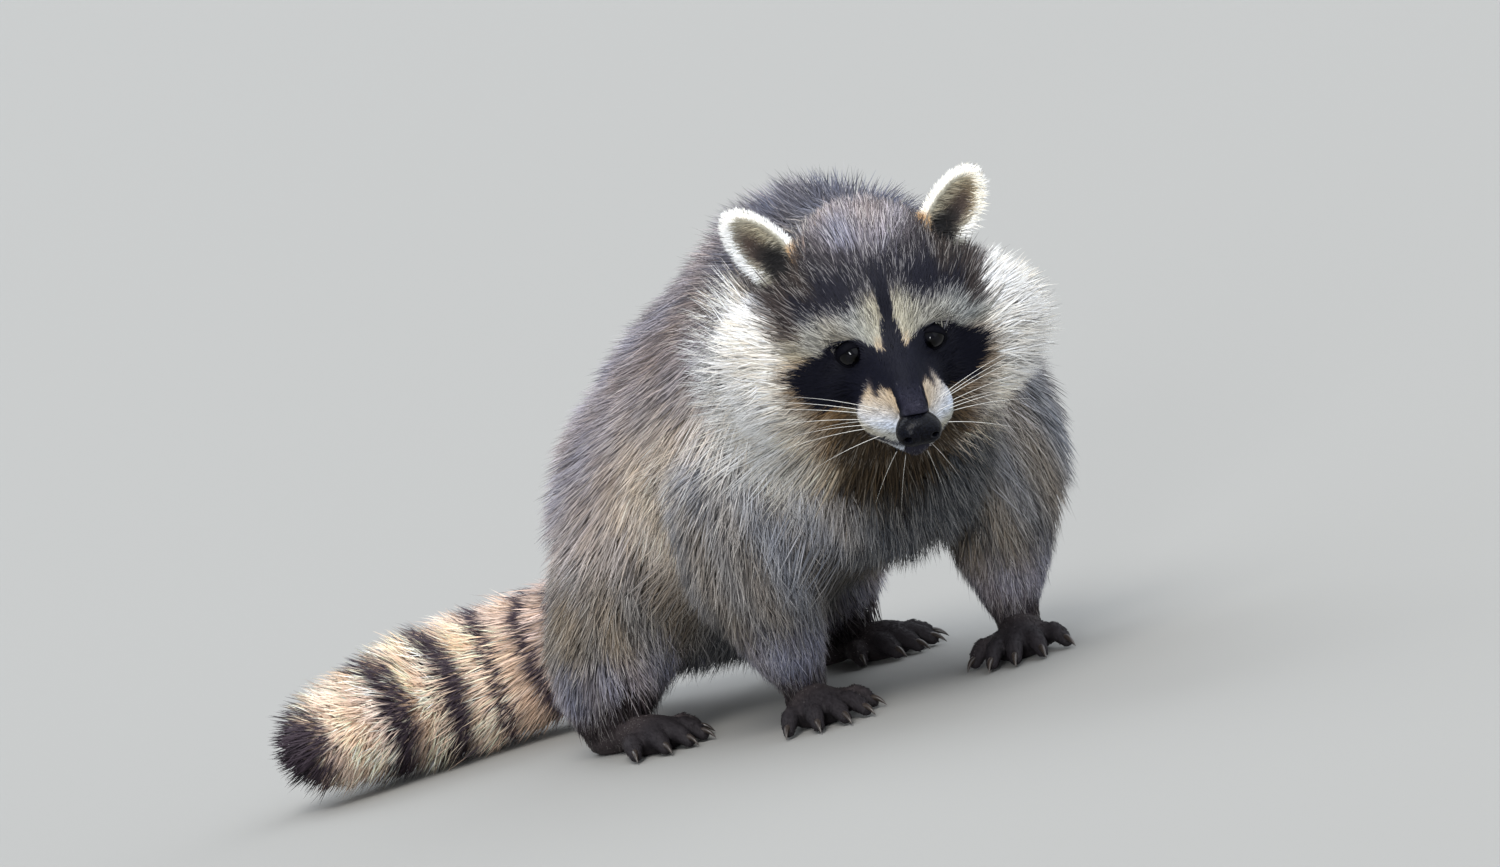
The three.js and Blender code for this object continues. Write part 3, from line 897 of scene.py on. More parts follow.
def number_points(mesh, name, values):
    layer = mesh.attributes.new(name, "FLOAT", "POINT")
    layer.data.foreach_set("value", values.astype(np.float32))


def finish_piece(piece, replaced=()):
    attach(piece, "root")
    if replaced:
        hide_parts(*replaced)


def set_inputs(node, values):
    for socket, value in values.items():
        node.inputs[socket].default_value = value
    return node


def add_node(tree, kind, values={}):
    return set_inputs(tree.nodes.new("ShaderNode" + kind), values)


def new_material(name, values):
    """A material with its node tree and its Principled shader, some of whose inputs are set."""
    material = bpy.data.materials.new(name)
    material.use_nodes = True
    tree = material.node_tree
    return material, tree, set_inputs(tree.nodes["Principled BSDF"], values)


def texture(tree, kind, scale):
    """A texture that keeps its place in the piece's own space."""
    place = add_node(tree, "TexCoord")
    made = add_node(tree, kind, {"Scale": scale})
    tree.links.new(place.outputs["Object"], made.inputs["Vector"])
    return made


def stained(tree, shader, amount, first, second, second_at=1.0):
    """Base colours that run from the first, at an amount of nought, to the second, at second_at."""
    made = add_node(tree, "ValToRGB")
    made.color_ramp.elements[0].color = (*first, 1)
    made.color_ramp.elements[1].color = (*second, 1)
    made.color_ramp.elements[1].position = second_at
    tree.links.new(amount, made.inputs["Fac"])
    tree.links.new(made.outputs["Color"], shader.inputs["Base Color"])


def bumped(tree, shader, height, distance, strength=1.0, inwards=False):
    """Lets a height stand out of the surface, or sink into it, by up to a distance in metres."""
    made = add_node(tree, "Bump", {"Strength": strength, "Distance": distance})
    made.invert = inwards
    tree.links.new(height, made.inputs["Height"])
    tree.links.new(made.outputs["Normal"], shader.inputs["Normal"])


def grain_group():
    """Shader nodes that lay fine uneven light and dark over a colour, and give its height for a bump."""
    group = bpy.data.node_groups.new("grain", "ShaderNodeTree")
    group.interface.new_socket("Color", in_out="INPUT", socket_type="NodeSocketColor")
    for name in ("Scale", "Darkest", "Lightest"):
        group.interface.new_socket(name, in_out="INPUT", socket_type="NodeSocketFloat")
    group.interface.new_socket("Color", in_out="OUTPUT", socket_type="NodeSocketColor")
    group.interface.new_socket("Height", in_out="OUTPUT", socket_type="NodeSocketFloat")
    taken = group.nodes.new("NodeGroupInput")
    given = group.nodes.new("NodeGroupOutput")
    noise = set_inputs(texture(group, "TexNoise", 1), {"Detail": 3})
    span = add_node(group, "MapRange")
    toned = add_node(group, "VectorMath")
    toned.operation = "SCALE"
    link = group.links.new
    link(taken.outputs["Scale"], noise.inputs["Scale"])
    link(noise.outputs["Fac"], span.inputs["Value"])
    link(taken.outputs["Darkest"], span.inputs["To Min"])
    link(taken.outputs["Lightest"], span.inputs["To Max"])
    link(taken.outputs["Color"], toned.inputs[0])
    link(span.outputs["Result"], toned.inputs["Scale"])
    link(toned.outputs["Vector"], given.inputs["Color"])
    link(noise.outputs["Fac"], given.inputs["Height"])
    return group


GRAIN = grain_group()


def marked_material(name, roughness, specular, scale, darkest, lightest):
    """A material with the markings' colours under the grain, its tree and shader, and the nodes of both."""
    material, tree, shader = new_material(name, {"Roughness": roughness, "Specular IOR Level": specular})
    marks = add_node(tree, "Attribute")
    marks.attribute_name = "Markings"
    grain = add_node(tree, "Group")
    grain.node_tree = GRAIN
    set_inputs(grain, {"Scale": scale, "Darkest": darkest, "Lightest": lightest})
    tree.links.new(marks.outputs["Color"], grain.inputs["Color"])
    tree.links.new(grain.outputs["Color"], shader.inputs["Base Color"])
    return material, tree, shader, marks, grain


hide_material, tree, shader, _, grain = marked_material(
    "hide", roughness=0.75, specular=0.25, scale=900, darkest=0.72, lightest=1.2
)
bumped(tree, shader, grain.outputs["Height"], 0.0006, 0.5)

DEEP_SHADE = 0.35  # how much darker the hide is under deep fur
THINNING_LEVELS = 4
hide = mesh_object("hide", skin_points, skin_quads)
hide_colours = marking(skin_points, skin_shares)
paint_points(hide.data, hide_colours * (1 - DEEP_SHADE * soft(6, 20, skin_depth))[:, None])
hide.data.materials.append(hide_material)
deep_fur = hide.vertex_groups.new(name="deep fur")
levels = np.round(soft(3, 14, skin_depth) * THINNING_LEVELS) / THINNING_LEVELS
for level in np.unique(levels):
    if level > 0:
        deep_fur.add(np.nonzero(levels == level)[0].tolist(), float(level), "REPLACE")
thinner = hide.modifiers.new("thinner", "DECIMATE")
thinner.ratio = HIDE_TRIANGLES / (2 * len(skin_quads))
thinner.vertex_group = deep_fur.name
thinner.use_collapse_triangulate = True
shaped_for_good(hide, thinner)
hide.vertex_groups.clear()
finish_piece(hide, flesh)

# ---- the eyes ------------------------------------------------------------------------------------
# Moist dark balls with a domed cornea over a nearly black iris and a round pupil, set in the sockets.
# They look ahead, a little down, and inwards to the same thing.
EYE_SEGMENTS = 48
EYE_RINGS = 32
GAZE = (-0.16, -1, -0.15)
CORNEA_RISE = 0.8
CORNEA_EDGE, IRIS_EDGE, PUPIL_EDGE = 44, 38, 17  # degrees off the gaze
IRIS = (8, 8, 13)
EYE_DARK = (4, 4, 5)
PUPIL = (2, 2, 2)


def eye_frame(side):
    """Axes of an eye, as columns in the head's frame: across, up, and out along the gaze."""
    out = unit(np.array(GAZE, float) * [side, 1, 1])
    across = unit(np.cross([0, 0, 1], out)) * -1
    return np.stack([across, np.cross(out, across) * -1, out], axis=1)


def eye_places(side, angle, turn, radius):
    """Points of the whole frame on an eye's ball, at an angle off its gaze and a turn about it, degrees."""
    angle, turn = np.radians(angle), np.radians(turn)
    local = np.stack([np.sin(angle) * np.cos(turn), np.sin(angle) * np.sin(turn), np.cos(angle)], axis=-1)
    return from_head(EYE_AT * [side, 1, 1] + (local * np.asarray(radius)[..., None]) @ eye_frame(side).T)


def lathe_faces(rings, segments, wrap_rings=False):
    """Quads between closed rings of points. With wrap_rings the last ring meets the first."""
    i = np.arange(rings if wrap_rings else rings - 1)[:, None]
    j = np.arange(segments)[None]
    a, b = i * segments + j, i * segments + (j + 1) % segments
    c, d = (i + 1) % rings * segments + (j + 1) % segments, (i + 1) % rings * segments + j
    return np.stack([a, b, c, d], axis=-1).reshape(-1, 4)


def turned_out(piece):
    """Turns a closed mesh's faces outwards, once its doubled corners are merged."""
    work = bmesh.new()
    work.from_mesh(piece.data)
    bmesh.ops.remove_doubles(work, verts=work.verts, dist=1e-6)
    bmesh.ops.recalc_face_normals(work, faces=work.faces)
    work.to_mesh(piece.data)
    work.free()


eye_material = marked_material(
    "eye", roughness=0.03, specular=0.16, scale=1400, darkest=0.6, lightest=1.3
)[0]

for side_name, side in BOTH_SIDES:
    angle = np.linspace(0, 180, EYE_RINGS)[:, None] + np.zeros(EYE_SEGMENTS)
    turn = np.arange(EYE_SEGMENTS)[None] * 360 / EYE_SEGMENTS + np.zeros((EYE_RINGS, 1))
    radius = EYE_RADIUS + CORNEA_RISE * (1 - soft(0, CORNEA_EDGE, angle))
    ball = mesh_object("eyeball_" + side_name, eye_places(side, angle, turn, radius).reshape(-1, 3),
                       lathe_faces(EYE_RINGS, EYE_SEGMENTS))
    paint_points(ball.data, painted(repeated(EYE_DARK, angle.size), [
        (IRIS, between(angle.ravel(), PUPIL_EDGE, IRIS_EDGE, 3)),
        (PUPIL, fades(angle.ravel(), PUPIL_EDGE - 3, PUPIL_EDGE + 1)),
    ]))
    turned_out(ball)
    ball.data.materials.append(eye_material)
    finish_piece(ball, ["eye_" + side_name])

# ---- the eyelids ---------------------------------------------------------------------------------
# A rounded rim of bare black skin round each opening, which lies on the ball and runs back into the hide.
OPENING_ACROSS = 6.3
OPENING_UP = 5.3
LID_TILT = 8  # degrees that the opening's outer corner is raised
OPENING_RADIUS = 7.6  # of the ball that the opening is measured on
TEAR_CORNER = 0.14  # how much farther the opening runs towards the nose
FLATTENED = 0.2  # how much its corners are flattened
# Each ring of the lid: degrees beyond the opening's edge, and its distance from the ball's middle.
LID_RINGS = [
    (-1, 7.35), (0, 7.75), (3, 8.0), (9, 8.1), (18, 8.1),
    (30, 7.8), (44, 7.3), (44, 6.6), (10, 6.8),
]

lid_material, tree, shader = new_material(
    "eyelid", {"Base Color": (0.003, 0.003, 0.005, 1), "Specular IOR Level": 0.03}
)
wrinkle = texture(tree, "TexNoise", 700)
damp = add_node(tree, "MapRange", {"To Min": 0.45, "To Max": 0.75})
tree.links.new(wrinkle.outputs["Fac"], damp.inputs["Value"])
tree.links.new(damp.outputs["Result"], shader.inputs["Roughness"])
bumped(tree, shader, wrinkle.outputs["Fac"], 0.0003)

for side_name, side in BOTH_SIDES:
    turn = np.arange(EYE_SEGMENTS) * 360 / EYE_SEGMENTS
    across, up = np.cos(np.radians(turn)), np.sin(np.radians(turn))
    inward = np.clip(-side * across, 0, 1)
    half_across = OPENING_ACROSS * across * (1 + TEAR_CORNER * inward**4)
    half_up = OPENING_UP * up * (1 - FLATTENED + FLATTENED * np.abs(up))
    edge = np.degrees(np.arcsin(np.minimum(np.hypot(half_across, half_up) / OPENING_RADIUS, 0.93)))
    rings = []
    for more, radius in LID_RINGS:
        rings.append(eye_places(side, edge + more, turn + side * LID_TILT, np.full(EYE_SEGMENTS, radius)))
    lid = mesh_object("eyelids_" + side_name, np.concatenate(rings),
                      lathe_faces(len(LID_RINGS), EYE_SEGMENTS, wrap_rings=True))
    turned_out(lid)
    lid.data.materials.append(lid_material)
    finish_piece(lid)

# ---- the nose pad --------------------------------------------------------------------------------
# Moist black leather with a pebbled face, comma-shaped nostrils that open to the sides, and a groove down
# its middle.
NOSE_CELL = 0.45
NOSE_BOX = np.array([16, 14, 14])
NOSTRIL_EDGE = 1.3


def nose_form(q):
    d = blend(
        4,
        ellipsoid([0, 0, -0.6], [10.6, 10.0, 8.2]),
        *both([5.8, -2.2, -1.8], [5.6, 7.2, 6.0]),
        ellipsoid([0, 3, 2.0], [8.4, 8, 6.0]),
    )(q)
    for side in (1, -1):
        nostril = limb([side * 6.4, -9.4, -4.0], [side * 8.2, -4, -2.0], 1.5, 1.3)
        slit = limb([side * 7.2, -8.8, -4.4], [side * 12.0, -3.6, -5.0], 1.0, 0.7)
        d = pressed_out(d, blend(1.5, nostril, slit)(q), NOSTRIL_EDGE)
    groove = limb([0, -11.2, 1], [0, -7.6, -10], 0.75, 0.85)
    return pressed_out(d, groove(q), NOSTRIL_EDGE)


nose_axes = [np.arange(-n, n + NOSE_CELL, NOSE_CELL) for n in NOSE_BOX]
nose_field = nose_form(lattice(nose_axes)).reshape([len(a) for a in nose_axes]).astype(np.float32)
nose_points, nose_quads = surface_of(nose_field, NOSE_CELL)
nose_points = nose_points * NOSE_CELL - NOSE_BOX
nose_pad = mesh_object("nose_pad", from_head(NOSE_AT + nose_points @ rotation(*NOSE_TILT).T), nose_quads)
turned_out(nose_pad)

nose_material, tree, shader = new_material("nose leather", {"Roughness": 0.27, "Specular IOR Level": 0.09})
pebbles = texture(tree, "TexVoronoi", 900).outputs["Distance"]
stained(tree, shader, pebbles, (0.006, 0.007, 0.012), (0.002, 0.002, 0.003), 0.7)
bumped(tree, shader, pebbles, 0.0003, 0.35, inwards=True)
nose_pad.data.materials.append(nose_material)
finish_piece(nose_pad, ["nose"])

# ---- claws and whiskers --------------------------------------------------------------------------
# Both are tapering round rods bent along a path: dark horn claws that curve down to the floor from each
# toe's end, and stiff white hairs that sweep out from the muzzle.


def rod_tree(name):
    """Geometry Nodes that turn paths with a thickness at each point into closed round rods."""
    group = bpy.data.node_groups.new(name, "GeometryNodeTree")
    face = group.interface
    face.new_socket("Geometry", in_out="INPUT", socket_type="NodeSocketGeometry")
    sides = face.new_socket("Sides", in_out="INPUT", socket_type="NodeSocketInt")
    finish = face.new_socket("Finish", in_out="INPUT", socket_type="NodeSocketMaterial")
    face.new_socket("Geometry", in_out="OUTPUT", socket_type="NodeSocketGeometry")
    kinds = {
        "taken": "NodeGroupInput", "given": "NodeGroupOutput",
        "path": "GeometryNodeMeshToCurve", "thick": "GeometryNodeInputNamedAttribute",
        "radius": "GeometryNodeSetCurveRadius", "round": "GeometryNodeCurvePrimitiveCircle",
        "rod": "GeometryNodeCurveToMesh", "smooth": "GeometryNodeSetShadeSmooth",
        "real": "GeometryNodeRealizeInstances", "coated": "GeometryNodeSetMaterial",
    }
    made = {key: group.nodes.new(kind) for key, kind in kinds.items()}
    made["thick"].data_type = "FLOAT"
    set_inputs(made["thick"], {"Name": "Thickness"})
    set_inputs(made["round"], {"Radius": 1})
    set_inputs(made["rod"], {"Fill Caps": True})
    links = [
        ("taken", "Geometry", "path", "Mesh"), ("path", "Curve", "radius", "Curve"),
        ("thick", "Attribute", "radius", "Radius"), ("radius", "Curve", "rod", "Curve"),
        ("taken", "Sides", "round", "Resolution"), ("round", "Curve", "rod", "Profile Curve"),
        ("thick", "Attribute", "rod", "Scale"), ("rod", "Mesh", "smooth", "Geometry"),
        ("smooth", "Geometry", "real", "Geometry"), ("real", "Geometry", "coated", "Geometry"),
        ("taken", "Finish", "coated", "Material"), ("coated", "Geometry", "given", "Geometry"),
    ]
    for start, given, end, taken in links:
        group.links.new(made[start].outputs[given], made[end].inputs[taken])
    return group, sides.identifier, finish.identifier


rods, SIDES, FINISH = rod_tree("tapering rods")


def bent_rods(name, paths, thicknesses, sides, material):
    """One object of rods along paths, mm, each with its own row of half-thicknesses."""
    count = len(paths[0])
    points = np.concatenate(paths)
    start = np.arange(len(points)).reshape(-1, count)
    edges = np.stack([start[:, :-1].ravel(), start[:, 1:].ravel()], axis=1)
    mesh = bpy.data.meshes.new(name)
    mesh.from_pydata((points * MM).tolist(), edges.tolist(), [])
    number_points(mesh, "Thickness", np.concatenate(thicknesses) * MM)
    made = in_scene(name, mesh)
    swept = made.modifiers.new("swept", "NODES")
    swept.node_group = rods
    swept[SIDES] = sides
    swept[FINISH] = material
    shaped_for_good(made, swept)
    return made


CLAW_LENGTH = 11
CLAW_STEPS = 9
CLAW_SIDES = 10
CLAW_HALF, CLAW_POINT = 1.9, 0.12  # half its thickness at the root and the point
CLAW_ROOT = 3, 1.6  # how far back from the toe's end it is rooted, and how far up
CLAW_ARCH, CLAW_FALL = 2.2, 4.4  # how far its bend lies over its root, and its point under

claw_material, tree, shader = new_material("claw horn", {"Roughness": 0.3})
growth = texture(tree, "TexNoise", 500).outputs["Fac"]
stained(tree, shader, growth, (0.012, 0.010, 0.009), (0.060, 0.046, 0.038))

t = np.linspace(0, 1, CLAW_STEPS)[:, None]
for name, (kind, side, _, _) in PAWS.items():
    paths, thicknesses = [], []
    for toe in TOES:
        _, _, tip, ahead = toe_line(kind, side, toe)
        base = tip - ahead * CLAW_ROOT[0] + [0, 0, CLAW_ROOT[1]]
        bend = base + ahead * CLAW_LENGTH * 0.62 + [0, 0, CLAW_ARCH]
        point = base + ahead * (CLAW_LENGTH + 1) - [0, 0, CLAW_FALL]
        paths.append(from_paw(name, base * (1 - t) ** 2 + bend * 2 * t * (1 - t) + point * t**2))
        thicknesses.append(CLAW_HALF * (1 - t[:, 0] ** 1.6) ** 0.8 + CLAW_POINT)
    claws = bent_rods("claws_" + name, paths, thicknesses, CLAW_SIDES, claw_material)
    finish_piece(claws, [f"claw_{name}_{i + 1}" for i in range(len(TOES))])

WHISKER_STEPS = 14
WHISKER_SIDES = 5
WHISKER_HALF = 0.16  # half the thickness at the root of one of FULL_WHISKER or longer
FULL_WHISKER = 40
WHISKER_TAPER = 0.85
WHISKER_SINK = 0.94  # draws the roots in under the skin
# Each whisker's root, the way it sets out, and its length, on the left: those of the muzzle, chin and brow.
WHISKERS = [
    ((17.0, -74, -9), (1.0, 0.25, 0.42), 50), ((19.5, -69, -12), (1.0, 0.35, 0.30), 58),
    ((21.0, -64, -15), (1.0, 0.45, 0.18), 62), ((21.5, -62, -19), (1.0, 0.50, 0.05), 58),
    ((20.5, -66, -22), (1.0, 0.40, -0.10), 52), ((18.5, -72, -18), (1.0, 0.22, 0.10), 48),
    ((17.5, -75, -23), (1.0, 0.20, -0.25), 42), ((16.0, -78, -14), (1.0, 0.10, 0.22), 36),
    ((10.0, -70, -36), (0.6, 0.1, -0.9), 26), ((6.0, -74, -37), (0.3, -0.1, -1.0), 22),
    ((15.0, -40, 26), (0.3, -0.3, 1.0), 24), ((12.0, -42, 25), (0.1, -0.4, 1.0), 20),
]
WHISKER_DROOP = 7
WHISKER_FALL = np.array([0, 0.25, -1])  # the way they droop

whisker_material, tree, shader = new_material("whisker", {"Roughness": 0.35})
shade = texture(tree, "TexNoise", 60).outputs["Fac"]
stained(tree, shader, shade, (0.62, 0.60, 0.55), (0.95, 0.94, 0.90))

t = np.linspace(0, 1, WHISKER_STEPS)[:, None]
paths, thicknesses = [], []
for _, side in BOTH_SIDES:
    for start, out, length in WHISKERS:
        start = np.array(start) * [side, 1, 1] * [WHISKER_SINK, 1, 1]
        out = unit(np.array(out, float) * [side, 1, 1])
        path = start + out * length * t + WHISKER_FALL * WHISKER_DROOP * t**2
        paths.append(from_head(path))
        thicknesses.append(WHISKER_HALF * (1 - WHISKER_TAPER * t[:, 0]) * min(1, length / FULL_WHISKER))
whiskers = bent_rods("whiskers", paths, thicknesses, WHISKER_SIDES, whisker_material)
finish_piece(whiskers)


# ---- the coat ------------------------------------------------------------------------------------
# Tufts of hair rooted in the hide, each a thin spindle of three sides that bends over and lies along the
# body. Long ones gather into locks and reach the outline that the flesh solids give. On the face and feet
# they are tiny.
SEED = 11
rng = np.random.default_rng(SEED)
SHORT, LONG = 3, 4  # stations along a tuft, both its ends included
LONG_FROM = 9  # mm of depth from which the fur is long, and gathers in locks
BENT_SHARE = 0.5  # of the guard hairs, which have a station more
TUFTS_TO_A_LOCK = 22
LOCK_PULL = 0.32  # how much of the way to its lock's middle a tuft's point is drawn
UNDER_SHARE = 0.40
STRAY_SHARE = 0.10
# Places with no tufts, mm: so near the middles of the nose and the eyes, and so low on the soles.
NOSE_CLEAR = 10.8
EYE_CLEAR = 6.0
SOLE_HEIGHT = 3

quad_centre = skin_points[skin_quads].mean(1)
quad_depth = skin_depth[skin_quads].mean(1)
quad_part = skin_shares[skin_quads].mean(1).argmax(1)
quad_normal = unit(quad_normals(skin_points, skin_quads))
quad_head = to_head(quad_centre)

# Tufts to each face of the skin on each part: where the fur is shallow, where it is deeper, and where it
# is long.
SHALLOW = 5
TUFTS_EACH = {
    HEAD: (3.6, 2.5, 2.0),
    EARS: (3.3, 3.3, 3.3),
    TRUNK: (3.6, 2.5, 1.18),
    LEG_PART: (1.7, 1.7, 1.15),
    TAIL: (1.5, 1.5, 1.5),
    FEET: (0.85, 0.85, 0.85),
}
quad_kind = np.digitize(quad_depth, [SHALLOW, LONG_FROM])
tufts_each = np.array([TUFTS_EACH[i] for i in range(len(PARTS))])[quad_part, quad_kind]

in_nose = np.linalg.norm((quad_head - NOSE_AT) / [1.15, 1, 0.95], axis=1) < NOSE_CLEAR
beside_eye = np.hypot(np.abs(quad_head[:, 0]) - EYE_AT[0], (quad_head[:, 2] - EYE_AT[2]) * 1.15)
at_eye = (beside_eye < EYE_CLEAR) & (quad_head[:, 1] < -30)
on_sole = (quad_centre[:, 2] < SOLE_HEIGHT) & (quad_normal[:, 2] < -0.5)
tufts_each[in_nose | at_eye | on_sole] = 0

counts = np.floor(tufts_each + rng.random(len(tufts_each))).astype(int)
on_quad = np.repeat(np.arange(len(counts)), counts)
u, v = rng.random((2, len(on_quad), 1))
a, b, c, d = (skin_quads[on_quad, i] for i in range(4))


def over_quad(values):
    return (values[a] * (1 - u) + values[b] * u) * (1 - v) + (values[d] * (1 - u) + values[c] * u) * v


SLOPE_REACH = 1.5
FROM_COAT = 0.8  # how much the coat's slope counts beside the skin's


def out_of_coat(p):
    """The unit vector from points p straight out of the coat."""
    steps = np.eye(3) * SLOPE_REACH
    return unit(np.stack([coat(p + step) - coat(p - step) for step in steps], axis=1))


root = over_quad(skin_points)
out_of_skin = unit(over_quad(skin_normals))
shares = over_quad(skin_shares)
depth = np.maximum(-coat(root), 0.2)
upright = unit(out_of_skin + FROM_COAT * out_of_coat(root))
part = shares.argmax(1)
in_head = to_head(root)
in_body = root - BODY_ORIGIN


def wave(p, length, seed):
    """A slow wander between -1 and 1 over the body, about that many millimetres long."""
    turns = np.random.default_rng(seed).normal(size=(3, 3)) * (2 * math.pi / length)
    return np.sin(p @ turns.T + np.arange(3)).mean(1) * 1.3


def blend_ways(ways):
    return sum(unit(way) * shares[:, [i]] for i, way in enumerate(ways))


# How far the lie of the coat sways to the sides, over how many millimetres, and each wander's seed. Locks
# and single tufts sway besides.
WANDERS = ((0.16, 70, 1), (0.10, 28, 2))
LOCK_SWAY, TUFT_SWAY = 0.13, 0.24

# The lie of the coat on each part: back from the nose over the head, out over the ruffs, down and back
# over the body, down the legs, out along the toes, up the ears and along the tail.
LIE_POLE = np.array([0, -86, -12])
RUFF_WAY = np.array([46, -10, -14])
head_way = in_head - LIE_POLE
head_way = head_way + np.sign(in_head[:, [0]]) * soft(34, 56, np.abs(in_head[:, 0]))[:, None] * RUFF_WAY
head_way = head_way @ HEAD_TURN.T

# on an ear it lies out over the rim, and across the cup from its inner edge
ear_at = to_ear(in_head)
from_ear_middle = np.hypot(ear_at[:, 0], ear_at[:, 2])
on_rim = np.where(part == EARS, soft(0.72, 0.90, from_ear_middle) * soft(-0.7, -0.3, ear_at[:, 2]), 0)
in_cup = (part == EARS) & (ear_at[:, 1] < 0.1) & (from_ear_middle < 0.78)
ear_across = 0.9 * ear_at[:, 0] * on_rim + 0.8 * in_cup
ear_up = 0.5 + 0.6 * on_rim * ear_at[:, 2]
ear_way = np.stack([ear_across, 0 * on_rim, ear_up], axis=1)
ear_way = np.where(
    in_head[:, [0]] >= 0,
    ear_way @ rotation(*ear_turn(1)).T,
    (ear_way * [-1, 1, 1]) @ rotation(*ear_turn(-1)).T,
) @ HEAD_TURN.T

# on the trunk it lies back along the top and the belly, down and back over the sides, and down the chest
flat_top = np.abs(upright[:, 2])
facing_ahead = np.clip(-upright[:, 1], 0, 1)
under = np.clip(-upright[:, 2], 0, 1)
trunk_way = np.stack([
    np.zeros(len(root)),
    (0.42 + 0.58 * flat_top) * (1 - 0.9 * facing_ahead) + 0.3 * under,
    -(1 - flat_top**1.5) - 0.5 * facing_ahead - 0.12,
], axis=1)
leg_way = repeated([0, 0.22, -1.0], len(root))
_, _, tail_way = along_tail(root)
feet_way = np.zeros_like(root)
at_each_paw = {name: at_paw(to_paw(name, root), 12, 45) for name in PAWS}
for name, at in at_each_paw.items():
    feet_way[at] = rotation(0, 0, PAWS[name][3]) @ [0, -1, -0.35]
way = blend_ways([head_way, ear_way, trunk_way, leg_way, tail_way, feet_way])
sideways = unit(np.cross(upright, way))
way = unit(way) + sideways * sum(sway * wave(root, span, seed) for sway, span, seed in WANDERS)[:, None]

# Locks: each tuft of long fur belongs to the nearest of many middles, and its point is drawn that way.
long_places = np.nonzero(depth > LONG_FROM)[0]
lock_count = len(long_places) // TUFTS_TO_A_LOCK
middles = rng.choice(long_places, lock_count, replace=False)
nearest = KDTree(lock_count)
for i, j in enumerate(middles):
    nearest.insert(root[j], i)
nearest.balance()
lock = np.full(len(root), -1)
lock[long_places] = [nearest.find(p)[1] for p in root[long_places]]
lock_side, lock_lift, lock_length, lock_tone = rng.normal(size=(4, lock_count + 1)).clip(-2, 2)
in_lock = lock >= 0
to_middle = np.where(in_lock[:, None], root[middles[lock]] - root, 0)


def of_lock(values):
    """Each lock's value for its tufts, and nought for the rest."""
    return np.where(in_lock, values[lock], 0)


way = way + sideways * (LOCK_SWAY * of_lock(lock_side) + TUFT_SWAY * rng.normal(size=len(root)))[:, None]
way = unit(way - np.sum(way * upright, axis=1, keepdims=True) * upright)

# How far a tuft stands up from the skin, degrees, on average along its length.
LIFT = {HEAD: 21, EARS: 24, TRUNK: 37, LEG_PART: 25, TAIL: 50, FEET: 11}
LIFT_OF_SHORT = 9  # where the fur is shallow
RUFF_LIFT, RIM_LIFT, CUP_LIFT = 22, 14, -6  # more on the ruffs and the ears' rims, less in their cups
LOCK_LIFT, TUFT_LIFT = 2.5, 6  # how much locks differ, and tufts
BEND = 13  # degrees more at the root, and less at the point
lift = shares @ np.array([LIFT[i] for i in range(len(PARTS))], float)
on_ruff = shares[:, HEAD] * soft(8, 20, depth)
lift = lift + RUFF_LIFT * on_ruff + LOCK_LIFT * of_lock(lock_lift) + rng.normal(size=len(root)) * TUFT_LIFT
shallow = fades(depth, 1.5, 7)
lift = lift + (LIFT_OF_SHORT - lift) * np.where(part == EARS, 0, shallow)
lift = np.clip(lift + RIM_LIFT * on_rim + CUP_LIFT * in_cup, 5, 70)


def leaning(angle):
    angle = np.radians(angle)[:, None]
    return way * np.cos(angle) + upright * np.sin(angle)


bend = BEND * (1 - 0.7 * shallow)
first_way = leaning(np.clip(lift + bend, 5, 85))
last_way = leaning(np.clip(lift - bend, 0, 80))
reach = (first_way + last_way) / 2

# A tuft ends at the coat's outline or, if it is underfur, some way below it, and a few stray hairs pass
# it. None is shorter than the fur of its own part, and on the face that grows with the distance from the
# nose.
LEAST_HAIR = {HEAD: 4.6, EARS: 4.0, TRUNK: 8, LEG_PART: 4.5, TAIL: 8, FEET: 2.6}
LEAST_ON_FACE = ([10, 18, 45, 70], [1.2, 2.0, 3.6, 7.5])
LONGEST_HAIR = 66
EAR_HAIR, MORE_IN_CUP = 3.2, 4.6
LOCK_UNEVEN = 0.04  # of the depth, how much locks differ in where they end
FARTHEST_STRAY = 4
HALVINGS = 8  # of the span in which a tuft's length is sought


def drawn(low, high):
    """A number for each tuft between two others."""
    return rng.uniform(low, high, len(root))


is_under = in_lock & (rng.random(len(root)) < UNDER_SHARE)
is_stray = ~is_under & (rng.random(len(root)) < STRAY_SHARE)
is_bent = in_lock & ~is_under & (rng.random(len(root)) < BENT_SHARE)
short_of = depth * np.where(is_under, drawn(0.14, 0.36), drawn(-0.03, 0.08))
short_of = short_of - of_lock(lock_length) * LOCK_UNEVEN * depth
short_of = np.where(is_stray, -drawn(0.5, 3.5) * soft(2, 12, depth), short_of)
short_of = np.maximum(short_of, -FARTHEST_STRAY)
least = np.array([LEAST_HAIR[i] for i in range(len(PARTS))])[part]
from_nose = np.linalg.norm(in_head - NOSE_AT, axis=1)
least = np.where(part == HEAD, np.interp(from_nose, *LEAST_ON_FACE), least)
longest = np.minimum(2.6 * np.maximum(depth, 1.5) + 1.5, LONGEST_HAIR)
near_end, far_end = np.minimum(least, longest), np.maximum(least, longest)
for _ in range(HALVINGS):
    length = (near_end + far_end) / 2
    beyond = coat(root + length[:, None] * reach) + short_of > 0
    far_end = np.where(beyond, length, far_end)
    near_end = np.where(beyond, near_end, length)
length = (near_end + far_end) / 2 * drawn(0.90, 1.06)
length = np.where(part == EARS, (EAR_HAIR + MORE_IN_CUP * in_cup) * drawn(0.6, 1.3), length)
length = np.where(part == FEET, LEAST_HAIR[FEET] * drawn(0.7, 1.3), length)

